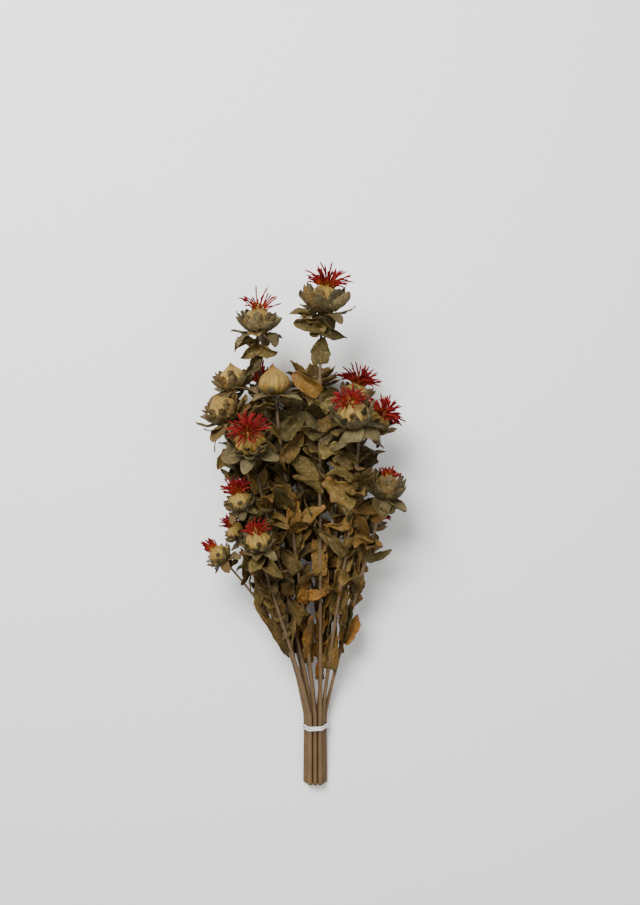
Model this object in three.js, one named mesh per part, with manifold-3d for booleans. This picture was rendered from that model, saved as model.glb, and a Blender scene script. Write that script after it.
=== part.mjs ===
// A tied bunch of dried safflower, lying on its side on a flat surface.
// Twelve cut stems are packed side by side in an elastic band and fan out towards their heads.
// Each stem grew in one piece with its leaves, and five of them carry a side branch.
// Each of the seventeen heads is a bud with a whorl of bracts round its foot, and most hold florets.
//
// Millimetres. +Y runs along the bunch from the cut ends to the heads, +X to the right of someone
// looking down on it with the heads away from them, +Z up from the surface that it lies on.
// The origin is the middle of the footprint, on that surface.
import * as THREE from "three";
import { ConvexGeometry } from "three/addons/geometries/ConvexGeometry.js";
import { mergeVertices } from "three/addons/utils/BufferGeometryUtils.js";
import Module from "manifold-3d";

const wasm = await Module();
wasm.setup();

// ---- Driving dimensions ----
const STEM_RADIUS = 2.3; // of a stem at its cut end
const NECK_RADIUS = 1.5; // of a stem just under its head
const BRANCH_RADIUS = 1.5; // of a side branch where it leaves its stem
const BRANCH_NECK_RADIUS = 1.1;
const PACKING_GAP = 0.4; // between neighbouring stems in the band
const TIE_AT = 62; // the band's middle, measured along the bundle from the cut ends
const BUNDLE_RISE = THREE.MathUtils.degToRad(8); // the bundle climbs towards the heads
const BUNDLE_SLOTS = [5, 4, 3]; // stems in each layer of the bundle, lowest first
const LEAD_OUT = 14; // the stems stay packed this far past the band
const SPLAY_AT_CUT = 1.06; // the cut ends spread by this ratio
const SPLAY_AT_LEAD = 1.07;
const BAND_WIDTH = 4.6;
const BAND_THICKNESS = 1.3;
const BAND_SLACK = 0.4; // between the band and the stems it holds
const LEAF_THICKNESS = 1.0;
const GAP = 0.35; // left between pieces that would touch
const SMALLEST_EDGE = 0.12; // shorter edges left by the cuts are closed up

// ---- The heads ----
// at is the middle of the bud: across and along from the bundle's lower left start, and up from the
// surface. turn swings its axis to the right of +Y and lift tips it up, in degrees. A stem's own head
// names its place in the bundle as [layer, place]; a side head names the head whose stem it branches
// from, and how far along that stem.
const HEADS = [
  { at: [10, 498, 100], turn: 8, lift: 6, radius: 16, florets: 1.0, slot: [2, 2] },
  { at: [-56, 478, 84], turn: 4, lift: 10, radius: 15, florets: 0.75, slot: [0, 2] },
  { at: [-83, 422, 58], turn: -8, lift: 6, radius: 14.5, florets: 0, slot: [0, 1] },
  { at: [-40, 417, 92], turn: -4, lift: 12, radius: 15, florets: 0, slot: [2, 1] },
  { at: [-92, 390, 80], turn: -28, lift: 16, radius: 15, florets: 0, slot: [0, 0] },
  { at: [-63, 360, 112], turn: -6, lift: 50, radius: 15.5, florets: 1.0, slot: [1, 1] },
  { at: [-2, 426, 27], turn: 4, lift: -4, radius: 13, florets: 0, slot: [0, 3] },
  { at: [37, 385, 106], turn: -14, lift: 26, radius: 16, florets: 0.9, slot: [1, 3] },
  { at: [42, 408, 46], turn: 14, lift: 4, radius: 13, florets: 0.85, slot: [1, 2] },
  { at: [71, 313, 74], turn: 14, lift: 10, radius: 15, florets: 0.55, slot: [0, 4] },
  { at: [-75, 300, 78], turn: -16, lift: 18, radius: 12, florets: 0.7, slot: [1, 0] },
  { at: [-56, 262, 96], turn: -10, lift: 26, radius: 12.5, florets: 0.6, slot: [2, 0] },
  { at: [-53, 412, 30], turn: -6, lift: -2, radius: 12.5, florets: 0.8, parent: 7, from: 0.5 },
  { at: [63, 378, 66], turn: 34, lift: 20, radius: 13, florets: 0.9, parent: 9, from: 0.55 },
  { at: [59, 276, 24], turn: 38, lift: 4, radius: 10.5, florets: 0.6, parent: 10, from: 0.42 },
  { at: [-80, 268, 42], turn: -36, lift: 18, radius: 11, florets: 0.55, parent: 11, from: 0.4 },
  { at: [-97, 245, 66], turn: -42, lift: 8, radius: 11, florets: 0.35, parent: 12, from: 0.4 },
];
const BUD_FOOT = 0.95; // the bud's foot is this many radii behind its middle
const BUD_TIP = 1.25; // and its tip this many in front

// The bud's outline as [share of the way from foot to tip, share of its radius].
const BUD_OUTLINE = [[0.0, 0.3], [0.12, 0.72], [0.3, 0.97], [0.48, 0.98], [0.68, 0.7], [0.88, 0.22]];

// ---- Small helpers ----
const vec = (x, y, z) => new THREE.Vector3(x, y, z);
const mix = THREE.MathUtils.lerp;
const UP = vec(0, 0, 1);
const GOLDEN_ANGLE = Math.PI * (3 - Math.sqrt(5));

// A repeatable number from 0 to 1 for a pair of whole numbers.
function chance(a, b) {
  const s = Math.sin(a * 12.9898 + b * 78.233) * 43758.5453;
  return s - Math.floor(s);
}

function headAxis({ turn, lift }) {
  const [t, l] = [THREE.MathUtils.degToRad(turn), THREE.MathUtils.degToRad(lift)];
  return vec(Math.sin(t) * Math.cos(l), Math.cos(t) * Math.cos(l), Math.sin(l));
}

// ---- Solids ----
function bareGeometry(geometry) {
  const bare = geometry.clone();
  for (const name of ["normal", "uv"]) bare.deleteAttribute(name);
  return bare;
}

// A closed geometry as a solid, turned outside out if its faces point inwards.
function solidOf(geometry) {
  const merged = mergeVertices(bareGeometry(geometry), 1e-3);
  const make = (corners) =>
    new wasm.Manifold(
      new wasm.Mesh({
        numProp: 3,
        vertProperties: merged.attributes.position.array,
        triVerts: new Uint32Array(corners),
      }),
    );
  const solid = make(merged.index.array);
  return solid.volume() > 0 ? solid : make(Array.from(merged.index.array).reverse());
}

function geometryOf(solid) {
  const mesh = solid.getMesh();
  return new THREE.BufferGeometry()
    .setAttribute("position", new THREE.BufferAttribute(mesh.vertProperties, 3))
    .setIndex(new THREE.BufferAttribute(mesh.triVerts, 1));
}

function closedGeometry(points, faces) {
  return new THREE.BufferGeometry().setFromPoints(points).setIndex(faces);
}

function boxesMeet(a, b) {
  return [0, 1, 2].every((i) => a.min[i] < b.max[i] && b.min[i] < a.max[i]);
}

// The solid less every keep-out that it meets, as the one piece that is left with the most in it.
function carve(solid, keepOuts) {
  const box = solid.boundingBox();
  const met = keepOuts.filter((k) => boxesMeet(box, k.boundingBox()));
  if (!met.length) return solid;
  const left = solid.subtract(wasm.Manifold.union(met)).simplify(SMALLEST_EDGE);
  const pieces = left.decompose().sort((a, b) => b.volume() - a.volume());
  return pieces[0];
}

// ---- The bundle and the stems' routes ----
const ALONG = vec(0, Math.cos(BUNDLE_RISE), Math.sin(BUNDLE_RISE));
const ABOVE = vec(0, -Math.sin(BUNDLE_RISE), Math.cos(BUNDLE_RISE));
const ACROSS = vec(1, 0, 0);
const PITCH = 2 * STEM_RADIUS + PACKING_GAP;
const LAYER = PITCH * Math.sin(Math.PI / 3);
const BUNDLE_START = vec(0, 0, (LAYER + STEM_RADIUS) * SPLAY_AT_CUT * Math.cos(BUNDLE_RISE));

// A stem's place in the bundle's section: [across, above] its middle.
function slotOffset([layer, place]) {
  return [(place - (BUNDLE_SLOTS[layer] - 1) / 2) * PITCH, (layer - 1) * LAYER];
}

function bundlePoint(offset, distance, spread) {
  return BUNDLE_START.clone()
    .addScaledVector(ALONG, distance)
    .addScaledVector(ACROSS, offset[0] * spread)
    .addScaledVector(ABOVE, offset[1] * spread);
}

const budMiddle = (head) => vec(...head.at);
const budFoot = (head) => budMiddle(head).addScaledVector(headAxis(head), -BUD_FOOT * head.radius - GAP);

const NOD = 45; // the last stretch of a stem, along which it turns into its head's axis
const FAN = 0.75; // how much of a stem's first direction points straight at its head

// One smooth line from a cut end through the band and up to the foot of the head.
function stemRoute(head) {
  const offset = slotOffset(head.slot);
  const cut = bundlePoint(offset, 0, SPLAY_AT_CUT);
  const tied = bundlePoint(offset, TIE_AT, 1);
  const lead = bundlePoint(offset, TIE_AT + LEAD_OUT, SPLAY_AT_LEAD);
  const foot = budFoot(head);
  const reach = foot.distanceTo(lead);
  const first = lead.clone().sub(tied).normalize().multiplyScalar(1 - FAN);
  first.addScaledVector(foot.clone().sub(lead).normalize(), FAN).normalize();
  const path = new THREE.CurvePath();
  path.add(new THREE.LineCurve3(cut, tied));
  path.add(new THREE.LineCurve3(tied, lead));
  path.add(
    new THREE.CubicBezierCurve3(
      lead,
      lead.clone().addScaledVector(first, reach / 3),
      foot.clone().addScaledVector(headAxis(head), -NOD),
      foot,
    ),
  );
  return path;
}

// A side branch leaves its stem along it and bends out to its own head.
function branchRoute(head, stem) {
  const start = stem.getPointAt(head.from);
  const leaving = stem.getTangentAt(head.from);
  const foot = budFoot(head);
  const reach = foot.distanceTo(start);
  return new THREE.CubicBezierCurve3(
    start,
    start.clone().addScaledVector(leaving, reach * 0.35),
    foot.clone().addScaledVector(headAxis(head), -reach * 0.3),
    foot,
  );
}

// The points that a tube's rings stand on: the ends of every straight, and steps along the curve.
function ringPoints(route, steps) {
  const curves = route.curves ?? [route];
  const starts = curves.slice(0, -1).map((line) => line.getPoint(0));
  return [...starts, ...curves[curves.length - 1].getSpacedPoints(steps)];
}

// A closed tube through some points, thinning evenly from one radius to the other.
function tube(centres, startRadius, endRadius, sides, grow) {
  const last = centres.length - 1;
  const points = centres.flatMap((centre, i) => {
    const tangent = centres[Math.min(i + 1, last)].clone().sub(centres[Math.max(i - 1, 0)]).normalize();
    const right = vec().crossVectors(tangent, UP).normalize();
    const top = vec().crossVectors(right, tangent);
    const radius = mix(startRadius, endRadius, i / last) + grow;
    const end = i ? (i === last ? grow : 0) : -grow;
    return Array.from({ length: sides }, (_, j) => {
      const angle = (2 * Math.PI * j) / sides;
      return centre
        .clone()
        .addScaledVector(tangent, end)
        .addScaledVector(right, radius * Math.cos(angle))
        .addScaledVector(top, radius * Math.sin(angle));
    });
  });
  const faces = [];
  for (let j = 0; j < sides; j++) {
    const next = (j + 1) % sides;
    for (let i = 0; i < last; i++) {
      const [a, b] = [i * sides + j, i * sides + next];
      faces.push(a, b, b + sides, a, b + sides, a + sides);
    }
    if (j > 0 && j < sides - 1) {
      const end = last * sides;
      faces.push(0, next, j, end, end + j, end + next);
    }
  }
  return solidOf(closedGeometry(points, faces));
}

// ---- Leaf blades ----
// A blade grows from root towards out, with its inner side facing face. bend turns it away from
// face over its length, twist turns it about its own length, and fold lifts its two edges.
const BUD_CLEARANCE = 1.6; // blades slide over the buds with this much room

// The share of the full width that a blade has at u, from its root at 0 to its tip at 1.
const bladeWidth = (u) => 0.3 * (1 - u) * (1 - u) + 0.95 * Math.sin(Math.PI * u ** 0.8) ** 0.9;

// A point of the blade's middle surface: u runs from root to tip, v from -1 to 1 across it.
function bladePoint(blade, u, v) {
  const { root, out, face, length, width, bend, twist, fold, thickness } = blade;
  const k = Math.abs(bend) < 1e-3 ? 1e-3 : bend;
  const side = vec().crossVectors(out, face);
  const normal = face.clone().multiplyScalar(Math.cos(k * u)).addScaledVector(out, Math.sin(k * u));
  const across = side.clone().multiplyScalar(Math.cos(twist * u));
  across.addScaledVector(normal, Math.sin(twist * u));
  const half = (width / 2) * bladeWidth(u);
  const p = root
    .clone()
    .addScaledVector(out, (length * Math.sin(k * u)) / k)
    .addScaledVector(face, (-length * (1 - Math.cos(k * u))) / k)
    .addScaledVector(across, v * half * (1 - 0.3 * fold))
    .addScaledVector(normal, Math.abs(v) * half * fold);
  for (const head of HEADS) {
    const away = p.clone().sub(budMiddle(head));
    const closest = head.radius + BUD_CLEARANCE;
    if (away.length() < closest) p.copy(budMiddle(head)).add(away.setLength(closest));
  }
  p.z = Math.max(p.z, thickness / 2);
  return p;
}

// A closed lens-shaped plate on the blade's middle surface, grown by grow on every side: the convex
// lengths between its stations, joined.
function bladeSolid(blade, stations, grow) {
  const rows = stations.map((u) => [-1, 0, 1].map((v) => bladePoint(blade, u, v)));
  const tip = bladePoint(blade, 1, 0);
  const rings = rows.map(([left, middle, right], i) => {
    const next = i + 1 < rows.length ? rows[i + 1][1] : tip;
    const back = i ? rows[i - 1][1] : middle;
    const across = right.clone().sub(left).normalize();
    const along = next.clone().sub(back).normalize();
    const normal = vec().crossVectors(across, along).normalize();
    const lift = blade.thickness / 2 + grow;
    const ring = [
      left.clone().addScaledVector(across, -2 * grow),
      middle.clone().addScaledVector(normal, lift),
      right.clone().addScaledVector(across, 2 * grow),
      middle.clone().addScaledVector(normal, -lift),
    ];
    return ring.map((p) => (i ? p : p.addScaledVector(along, -grow)));
  });
  const onward = tip.clone().sub(rows[rows.length - 1][1]).normalize();
  rings.push([tip.addScaledVector(onward, 3 * grow)]);
  const lengths = rings.slice(1).map((ring, i) => new ConvexGeometry([...rings[i], ...ring]));
  return wasm.Manifold.union(lengths.map(solidOf));
}

// ---- Leaves along a stem ----
const LEAF_STATIONS = [0, 0.3, 0.68];
const LEAVES_PER_STEM = 5;
const FIRST_LEAF = 128; // distance of the lowest leaf from the cut end
const LAST_LEAF = 34; // and of the highest from the head
const LEAVES_PER_BRANCH = 2;
const FIRST_BRANCH_LEAF = 25;
const LAST_BRANCH_LEAF = 20;
const COLLAR_LEAVES = 2; // spreading leaves close under each head
const SIDESTEPS = [0, 0.7, -0.7, 1.4, -1.4, 2.1, -2.1]; // a leaf turns round its stem to find room

// The blade of a leaf at a share of the way along a route, turned by angle round it.
function leafAt(route, share, angle, shape) {
  const tangent = route.getTangentAt(share);
  const right = vec().crossVectors(tangent, UP).normalize();
  const top = vec().crossVectors(right, tangent);
  const away = right.multiplyScalar(Math.cos(angle)).addScaledVector(top, Math.sin(angle));
  const out = away.clone().multiplyScalar(Math.sin(shape.open));
  out.addScaledVector(tangent, Math.cos(shape.open));
  const face = away.clone().multiplyScalar(-Math.cos(shape.open));
  face.addScaledVector(tangent, Math.sin(shape.open));
  const root = route.getPointAt(share).addScaledVector(away, NECK_RADIUS / 2);
  return { root, out, face, thickness: LEAF_THICKNESS, ...shape };
}

// Half the bunch's width at a height over the band: narrow at the band, then ever wider.
const outlineAt = (height) => 13 + 0.26 * height + 0.45 * Math.max(0, height - 150);
const LEAN = 0.06; // the bunch's middle line leans this much to the left

// How far a blade's middle and tip stay from stems, buds, the surface below and the outline.
function roomRound(blade) {
  const bandMiddle = bundlePoint([0, 0], TIE_AT, 1);
  return Math.min(
    ...[0.45, 0.75, 1].flatMap((u) => {
      const p = bladePoint(blade, u, 0);
      const fromStems = stemPoints.map((q) => q.distanceTo(p));
      const fromBuds = HEADS.map((h) => budMiddle(h).distanceTo(p) - h.radius);
      const height = p.y - bandMiddle.y;
      const fromOutline = outlineAt(height) - Math.abs(p.x + LEAN * height);
      return [...fromStems, ...fromBuds, p.z + LEAF_THICKNESS, fromOutline];
    }),
  );
}

// Of the places that a leaf could take round its stem, the one with the most room.
function roomiestLeaf(route, share, angle, shape) {
  const leaves = SIDESTEPS.map((step) => leafAt(route, share, angle + step, shape));
  const rooms = leaves.map(roomRound);
  return leaves[rooms.indexOf(Math.max(...rooms))];
}

// The leaves up the length of a stem: the lower ones are longer, and each differs a little.
function leavesAlong(route, number, count, first, last) {
  const length = route.getLength();
  return Array.from({ length: count }, (_, i) => {
    const share = mix(first, length - last, (i + 0.6 * chance(number, i)) / count) / length;
    return roomiestLeaf(route, share, GOLDEN_ANGLE * i + 6.28 * chance(number, 40), {
      open: mix(0.12, mix(0.3, 1.0, i / count), chance(number, i + 80)),
      length: mix(58, 42, i / count) * mix(0.85, 1.1, chance(number, i + 120)),
      width: mix(22, 19, i / count) * mix(0.85, 1.15, chance(number, i + 160)),
      bend: mix(-0.4, mix(0.5, 1.5, i / count), chance(number, i + 200)),
      twist: mix(-1.0, 1.0, chance(number, i + 240)),
      fold: mix(0.1, 0.7, chance(number, i + 280)),
    });
  });
}

// The collar of spreading leaves close under a head.
function collarLeaves(route, number, radius) {
  const length = route.getLength();
  return Array.from({ length: COLLAR_LEAVES }, (_, i) => {
    const share = 1 - (8 + 7 * i) / length;
    const turn = (2 * Math.PI * i) / COLLAR_LEAVES + 6.28 * chance(number, 320);
    return roomiestLeaf(route, share, turn, {
      open: mix(1.1, 1.6, chance(number, i + 360)),
      length: radius * mix(1.6, 2.1, chance(number, i + 400)),
      width: radius * mix(0.95, 1.25, chance(number, i + 440)),
      bend: mix(-0.9, 0.9, chance(number, i + 480)),
      twist: mix(-0.5, 0.5, chance(number, i + 520)),
      fold: mix(0.1, 0.5, chance(number, i + 560)),
    });
  });
}

// ---- Heads ----
const BUD_SIDES = 8;

// Places a solid made round +Z with its middle at the origin onto a head.
function placeOnHead(geometry, head) {
  const turned = new THREE.Quaternion().setFromUnitVectors(UP, headAxis(head));
  return geometry.applyQuaternion(turned).translate(...head.at);
}

// The closed bud: a turned onion shape.
function bud(head, grow) {
  const r = head.radius;
  const span = (BUD_FOOT + BUD_TIP) * r;
  const outline = BUD_OUTLINE.map(
    ([share, wide]) => new THREE.Vector2(wide * r + grow, share * span - BUD_FOOT * r),
  );
  outline[0].y -= grow;
  outline.unshift(new THREE.Vector2(0, -BUD_FOOT * r - grow));
  outline.push(new THREE.Vector2(0, BUD_TIP * r + grow));
  const geometry = new THREE.LatheGeometry(outline, BUD_SIDES);
  return solidOf(placeOnHead(geometry.rotateX(Math.PI / 2), head));
}

// The bracts: a cup round the bud's foot whose rim runs out into pointed tips.
const BRACTS = 7;
const CUP_THICKNESS = 1.2;
const CUP_EASE = 1.06; // the cup's inner outline is this much wider than the bud's
// The cup's inner outline: [share of the bud's radius, height in radii from the bud's middle].
const CUP_OUTLINE = [[0.42, -0.95], [0.98, -0.5]];
const NOTCH = [1.0, 0.0]; // between two tips
const TIP = [[1.02, 0.45], [1.25, 0.75]]; // a tip's place, from the closest to the most open

function bracts(head, number, grow) {
  const columns = 2 * BRACTS;
  const r = head.radius;
  const turn = 6.28 * chance(number, 600);
  const rimAt = (j) => {
    if (j % 2) return NOTCH;
    const open = chance(number, 610 + j);
    return [0, 1].map((k) => mix(TIP[0][k], TIP[1][k], open));
  };
  const wall = (out, reach) =>
    [...CUP_OUTLINE, null].map((place, row) =>
      Array.from({ length: columns }, (_, j) => {
        const [wide, height] = place ?? rimAt(j);
        const angle = turn + (2 * Math.PI * j) / columns;
        const radius = wide * CUP_EASE * r + out;
        const end = [-reach, 0, reach][row];
        return vec(radius * Math.cos(angle), radius * Math.sin(angle), height * r + end);
      }),
    );
  const inner = wall(GAP - grow, grow);
  const outer = wall(GAP + CUP_THICKNESS + grow, grow);
  const rings = [...inner, ...outer.reverse()];
  const faces = [];
  rings.forEach((_, k) => {
    for (let j = 0; j < columns; j++) {
      const [a, b] = [k * columns + j, k * columns + ((j + 1) % columns)];
      const up = (((k + 1) % rings.length) - k) * columns;
      faces.push(a, b, b + up, a, b + up, a + up);
    }
  });
  return solidOf(placeOnHead(closedGeometry(rings.flat(), faces), head));
}

// The florets: a small ball on the bud's tip, drawn out into fine points that fan forwards.
const FLORET_BALL = 0.4; // its radius, in radii of the bud
const FLORET_HEIGHT = 0.98; // where the florets part, in radii from the bud's middle
const FLORET_LENGTH = [9, 20]; // on the sparsest head and on the fullest

function florets(head, number, grow) {
  const reach = mix(...FLORET_LENGTH, head.florets);
  const ball = mergeVertices(bareGeometry(new THREE.IcosahedronGeometry(1, 1)), 1e-3);
  const position = ball.getAttribute("position");
  for (let i = 0; i < position.count; i++) {
    const p = vec().fromBufferAttribute(position, i);
    const pointed = p.z > -0.1 && i % 3 === number % 3;
    const out = FLORET_BALL * head.radius + (pointed ? reach * mix(0.8, 1, chance(number, i)) : 0);
    p.setLength(out + grow);
    position.setXYZ(i, p.x, p.y, p.z + FLORET_HEIGHT * head.radius);
  }
  return solidOf(placeOnHead(ball, head));
}

// ---- The elastic band ----
// A flat loop whose inner outline runs round the outermost stems, at the band's place.
function band(grow) {
  const corners = [
    [BUNDLE_SLOTS[0] - 1, 0],
    [BUNDLE_SLOTS[2] - 1, 2],
    [0, 2],
    [0, 0],
  ].map(([place, layer]) => slotOffset([layer, place]));
  const rightSlope = Math.atan2(corners[1][1] - corners[0][1], corners[1][0] - corners[0][0]);
  // Round each corner stem the outline is an arc between the directions of its two straight sides.
  const normals = [-Math.PI / 2, rightSlope - Math.PI / 2, Math.PI / 2, 1.5 * Math.PI - rightSlope];
  const outline = (radius) =>
    corners.flatMap(([x, y], i) => {
      const from = normals[i];
      const to = i < 3 ? normals[i + 1] : 1.5 * Math.PI;
      return [0, 0.5, 1].map((s) => {
        const angle = mix(from, to, s);
        return new THREE.Vector2(x + radius * Math.cos(angle), y + radius * Math.sin(angle));
      });
    });
  const inner = STEM_RADIUS + BAND_SLACK - grow;
  const shape = new THREE.Shape(outline(inner + BAND_THICKNESS + 2 * grow));
  shape.holes.push(new THREE.Path(outline(inner)));
  const depth = BAND_WIDTH + 2 * grow;
  const loop = new THREE.ExtrudeGeometry(shape, { depth, bevelEnabled: false });
  loop.translate(0, 0, -depth / 2).rotateX(Math.PI / 2).rotateX(BUNDLE_RISE);
  const middle = bundlePoint([0, 0], TIE_AT, 1);
  return solidOf(loop.translate(middle.x, middle.y, middle.z));
}

// ---- Building the bunch ----
const STALK_SIDES = 6;
const STALK_STEPS = 11; // rings along the curved stretch of a stem
const BRANCH_STEPS = 6;
const stemHeads = HEADS.filter((h) => h.slot);
const routes = new Map(stemHeads.map((h) => [h, stemRoute(h)]));
for (const head of HEADS.filter((h) => h.parent)) {
  routes.set(head, branchRoute(head, routes.get(HEADS[head.parent - 1])));
}

const STEM_SAMPLES = 40;
const stemPoints = [...routes.values()].flatMap((route) => route.getSpacedPoints(STEM_SAMPLES));

// The bare wood of a stem with its branch, grown by grow.
function wood(head, grow) {
  const trunkPoints = ringPoints(routes.get(head), STALK_STEPS);
  const trunk = tube(trunkPoints, STEM_RADIUS, NECK_RADIUS, STALK_SIDES, grow);
  const branches = HEADS.filter((h) => h.parent === HEADS.indexOf(head) + 1).map((h) => {
    const points = ringPoints(routes.get(h), BRANCH_STEPS);
    return tube(points, BRANCH_RADIUS, BRANCH_NECK_RADIUS, STALK_SIDES, grow);
  });
  return wasm.Manifold.union([trunk, ...branches]);
}

// Every leaf that grew on a stem, its branch's and its collars' included.
function leavesOf(head) {
  const number = HEADS.indexOf(head) + 1;
  const carried = [head, ...HEADS.filter((h) => h.parent === number)];
  return carried.flatMap((h) => {
    const own = HEADS.indexOf(h) + 1;
    const route = routes.get(h);
    const leaves = h.slot
      ? leavesAlong(route, own, LEAVES_PER_STEM, FIRST_LEAF, LAST_LEAF)
      : leavesAlong(route, own, LEAVES_PER_BRANCH, FIRST_BRANCH_LEAF, LAST_BRANCH_LEAF);
    return [...leaves, ...collarLeaves(route, own, h.radius)];
  });
}

const COLOURS = {
  stem: { color: 0x8a7350, roughness: 0.75, metalness: 0 },
  bud: { color: 0xa8935a, roughness: 0.7, metalness: 0 },
  bracts: { color: 0x6a6846, roughness: 0.8, metalness: 0 },
  florets: { color: 0xa8281c, roughness: 0.65, metalness: 0 },
  band: { color: 0xe8e2d8, roughness: 0.35, metalness: 0 },
};
const bunch = new THREE.Group();
const label = (kind, number) => `${kind}_${String(number).padStart(2, "0")}`;

function addPiece(name, solid, look) {
  const mesh = new THREE.Mesh(geometryOf(solid), new THREE.MeshStandardMaterial(COLOURS[look]));
  mesh.name = name;
  bunch.add(mesh);
}

// The firm pieces come first and keep their shapes; what is softer gives way to them in turn.
const grownWoods = stemHeads.map((h) => wood(h, GAP));
const woods = stemHeads.map((h, i) => carve(wood(h, 0), grownWoods.slice(0, i)));
const buds = HEADS.map((h) => bud(h, 0));
const grownBuds = HEADS.map((h) => bud(h, GAP));
const bandSolid = band(0);
const keepOuts = [...grownWoods, ...grownBuds];
const floretSolids = new Map();
HEADS.forEach((head, i) => {
  if (!head.florets) return;
  floretSolids.set(i, carve(florets(head, i + 1, 0), keepOuts));
  keepOuts.push(florets(head, i + 1, GAP));
});
const bractSolids = HEADS.map((head, i) => {
  const solid = carve(bracts(head, i + 1, 0), keepOuts);
  keepOuts.push(bracts(head, i + 1, GAP));
  return solid;
});

const leafKeepOuts = keepOuts.slice(grownWoods.length);
const stems = stemHeads.map((head, i) => {
  const others = [...grownWoods.filter((_, j) => j !== i), ...leafKeepOuts];
  const leaves = leavesOf(head);
  const cut = leaves.map((leaf) => carve(bladeSolid(leaf, LEAF_STATIONS, 0), others));
  leafKeepOuts.push(...leaves.map((leaf) => bladeSolid(leaf, LEAF_STATIONS, GAP)));
  const joined = wasm.Manifold.union([woods[i], ...cut.filter(Boolean)]).simplify(SMALLEST_EDGE);
  return joined.decompose().sort((a, b) => b.volume() - a.volume())[0];
});

stems.forEach((solid, i) => addPiece(label("stem", i + 1), solid, "stem"));
buds.forEach((solid, i) => addPiece(label("bud", i + 1), solid, "bud"));
bractSolids.forEach((solid, i) => addPiece(label("bracts", i + 1), solid, "bracts"));
floretSolids.forEach((solid, i) => addPiece(label("florets", i + 1), solid, "florets"));
addPiece("elastic_band", bandSolid, "band");

// The middle of the footprint becomes the origin.
const extent = new THREE.Box3().setFromObject(bunch);
const centre = extent.getCenter(vec());
bunch.position.set(-centre.x, -centre.y, -extent.min.z);

export default bunch;
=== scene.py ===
# %% [markdown]
# # A tied bunch of dried safflower
# Twelve cut stems are held by an elastic band and lie on a pale surface. They carry crumpled
# leaves and seventeen heads. Each head is a tan bud wrapped in leafy bracts, and most of the buds
# are open at the tip, where a tuft of crimson florets comes out.
#
# The solid model already says where every stem, bud and leaf is, so this script starts from it
# and gives each piece the surface of the real thing.

import bpy
import numpy as np
from mathutils import Matrix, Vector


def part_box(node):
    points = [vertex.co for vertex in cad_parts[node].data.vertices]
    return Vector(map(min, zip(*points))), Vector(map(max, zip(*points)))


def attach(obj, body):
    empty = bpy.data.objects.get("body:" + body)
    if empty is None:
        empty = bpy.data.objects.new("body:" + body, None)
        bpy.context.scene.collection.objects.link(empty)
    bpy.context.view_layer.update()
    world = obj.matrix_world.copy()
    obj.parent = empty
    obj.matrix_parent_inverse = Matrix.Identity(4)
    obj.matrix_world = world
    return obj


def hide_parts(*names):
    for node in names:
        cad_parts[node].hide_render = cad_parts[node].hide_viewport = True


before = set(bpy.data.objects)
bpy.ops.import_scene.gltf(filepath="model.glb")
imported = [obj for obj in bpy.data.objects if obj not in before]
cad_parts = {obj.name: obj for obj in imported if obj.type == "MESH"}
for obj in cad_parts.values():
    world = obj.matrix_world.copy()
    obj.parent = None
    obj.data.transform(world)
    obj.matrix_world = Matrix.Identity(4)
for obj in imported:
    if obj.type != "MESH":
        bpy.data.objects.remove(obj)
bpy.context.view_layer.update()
MM = 0.001

# %% [markdown]
# ## Where things are
# A bud in the solid model is a turned shape, so the middle of its corners lies on its axis and
# its farthest corner is its tip. From those two come the head's middle, direction and size.
# The band tells where the bundle is. Everything else is worked out from the heads and the band.

# %% Read the heads from the solid buds
BUD_FOOT = 0.95  # from the middle of a bud back to its foot, in radii
BUD_TIP = 1.25  # and forward to its tip
FOOT_GAP = 0.35 * MM  # between a bud's foot and the end of its stem
HEAD_COUNT = 17
UP = np.array([0.0, 0.0, 1.0])


def corners(node):
    """All corners of a node of the solid model, as an array."""
    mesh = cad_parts[node].data
    flat = np.empty(3 * len(mesh.vertices))
    mesh.vertices.foreach_get("co", flat)
    world = np.array(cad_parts[node].matrix_world)
    return flat.reshape(-1, 3) @ world[:3, :3].T + world[:3, 3]


def unit(vectors):
    """Vectors of length one, along the last axis of the array."""
    return vectors / np.linalg.norm(vectors, axis=-1, keepdims=True)


def turned(angle, a, b):
    """The direction a, turned by an angle towards b: a cos(angle) + b sin(angle)."""
    angle = np.asarray(angle)[..., None]
    return np.cos(angle) * a + np.sin(angle) * b


class Head:
    """One head: its middle, its axis, two directions square to the axis, and its radius."""

    def __init__(self, number):
        points = np.unique(np.round(corners(f"bud_{number:02d}"), 6), axis=0)
        far = points[np.argmax(np.linalg.norm(points - points.mean(axis=0), axis=1))]
        self.number = number
        self.axis = unit(far - points.mean(axis=0))
        heights = points @ self.axis
        self.radius = (heights.max() - heights.min()) / (BUD_FOOT + BUD_TIP)
        self.middle = far - BUD_TIP * self.radius * self.axis
        self.foot = self.middle - (BUD_FOOT * self.radius + FOOT_GAP) * self.axis
        self.side = unit(np.cross(self.axis, UP))
        self.up = np.cross(self.axis, self.side)

    def place(self, across, around, height):
        """Points at a distance from the axis, an angle round it and a height along it."""
        spoke = turned(around, self.side, self.up)
        return self.middle + across[..., None] * spoke + height[..., None] * self.axis


heads = {n: Head(n) for n in range(1, HEAD_COUNT + 1)}
for number, head in heads.items():
    print(f"head {number:2d} radius {head.radius / MM:5.1f} mm at {np.round(head.middle / MM)}")

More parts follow.
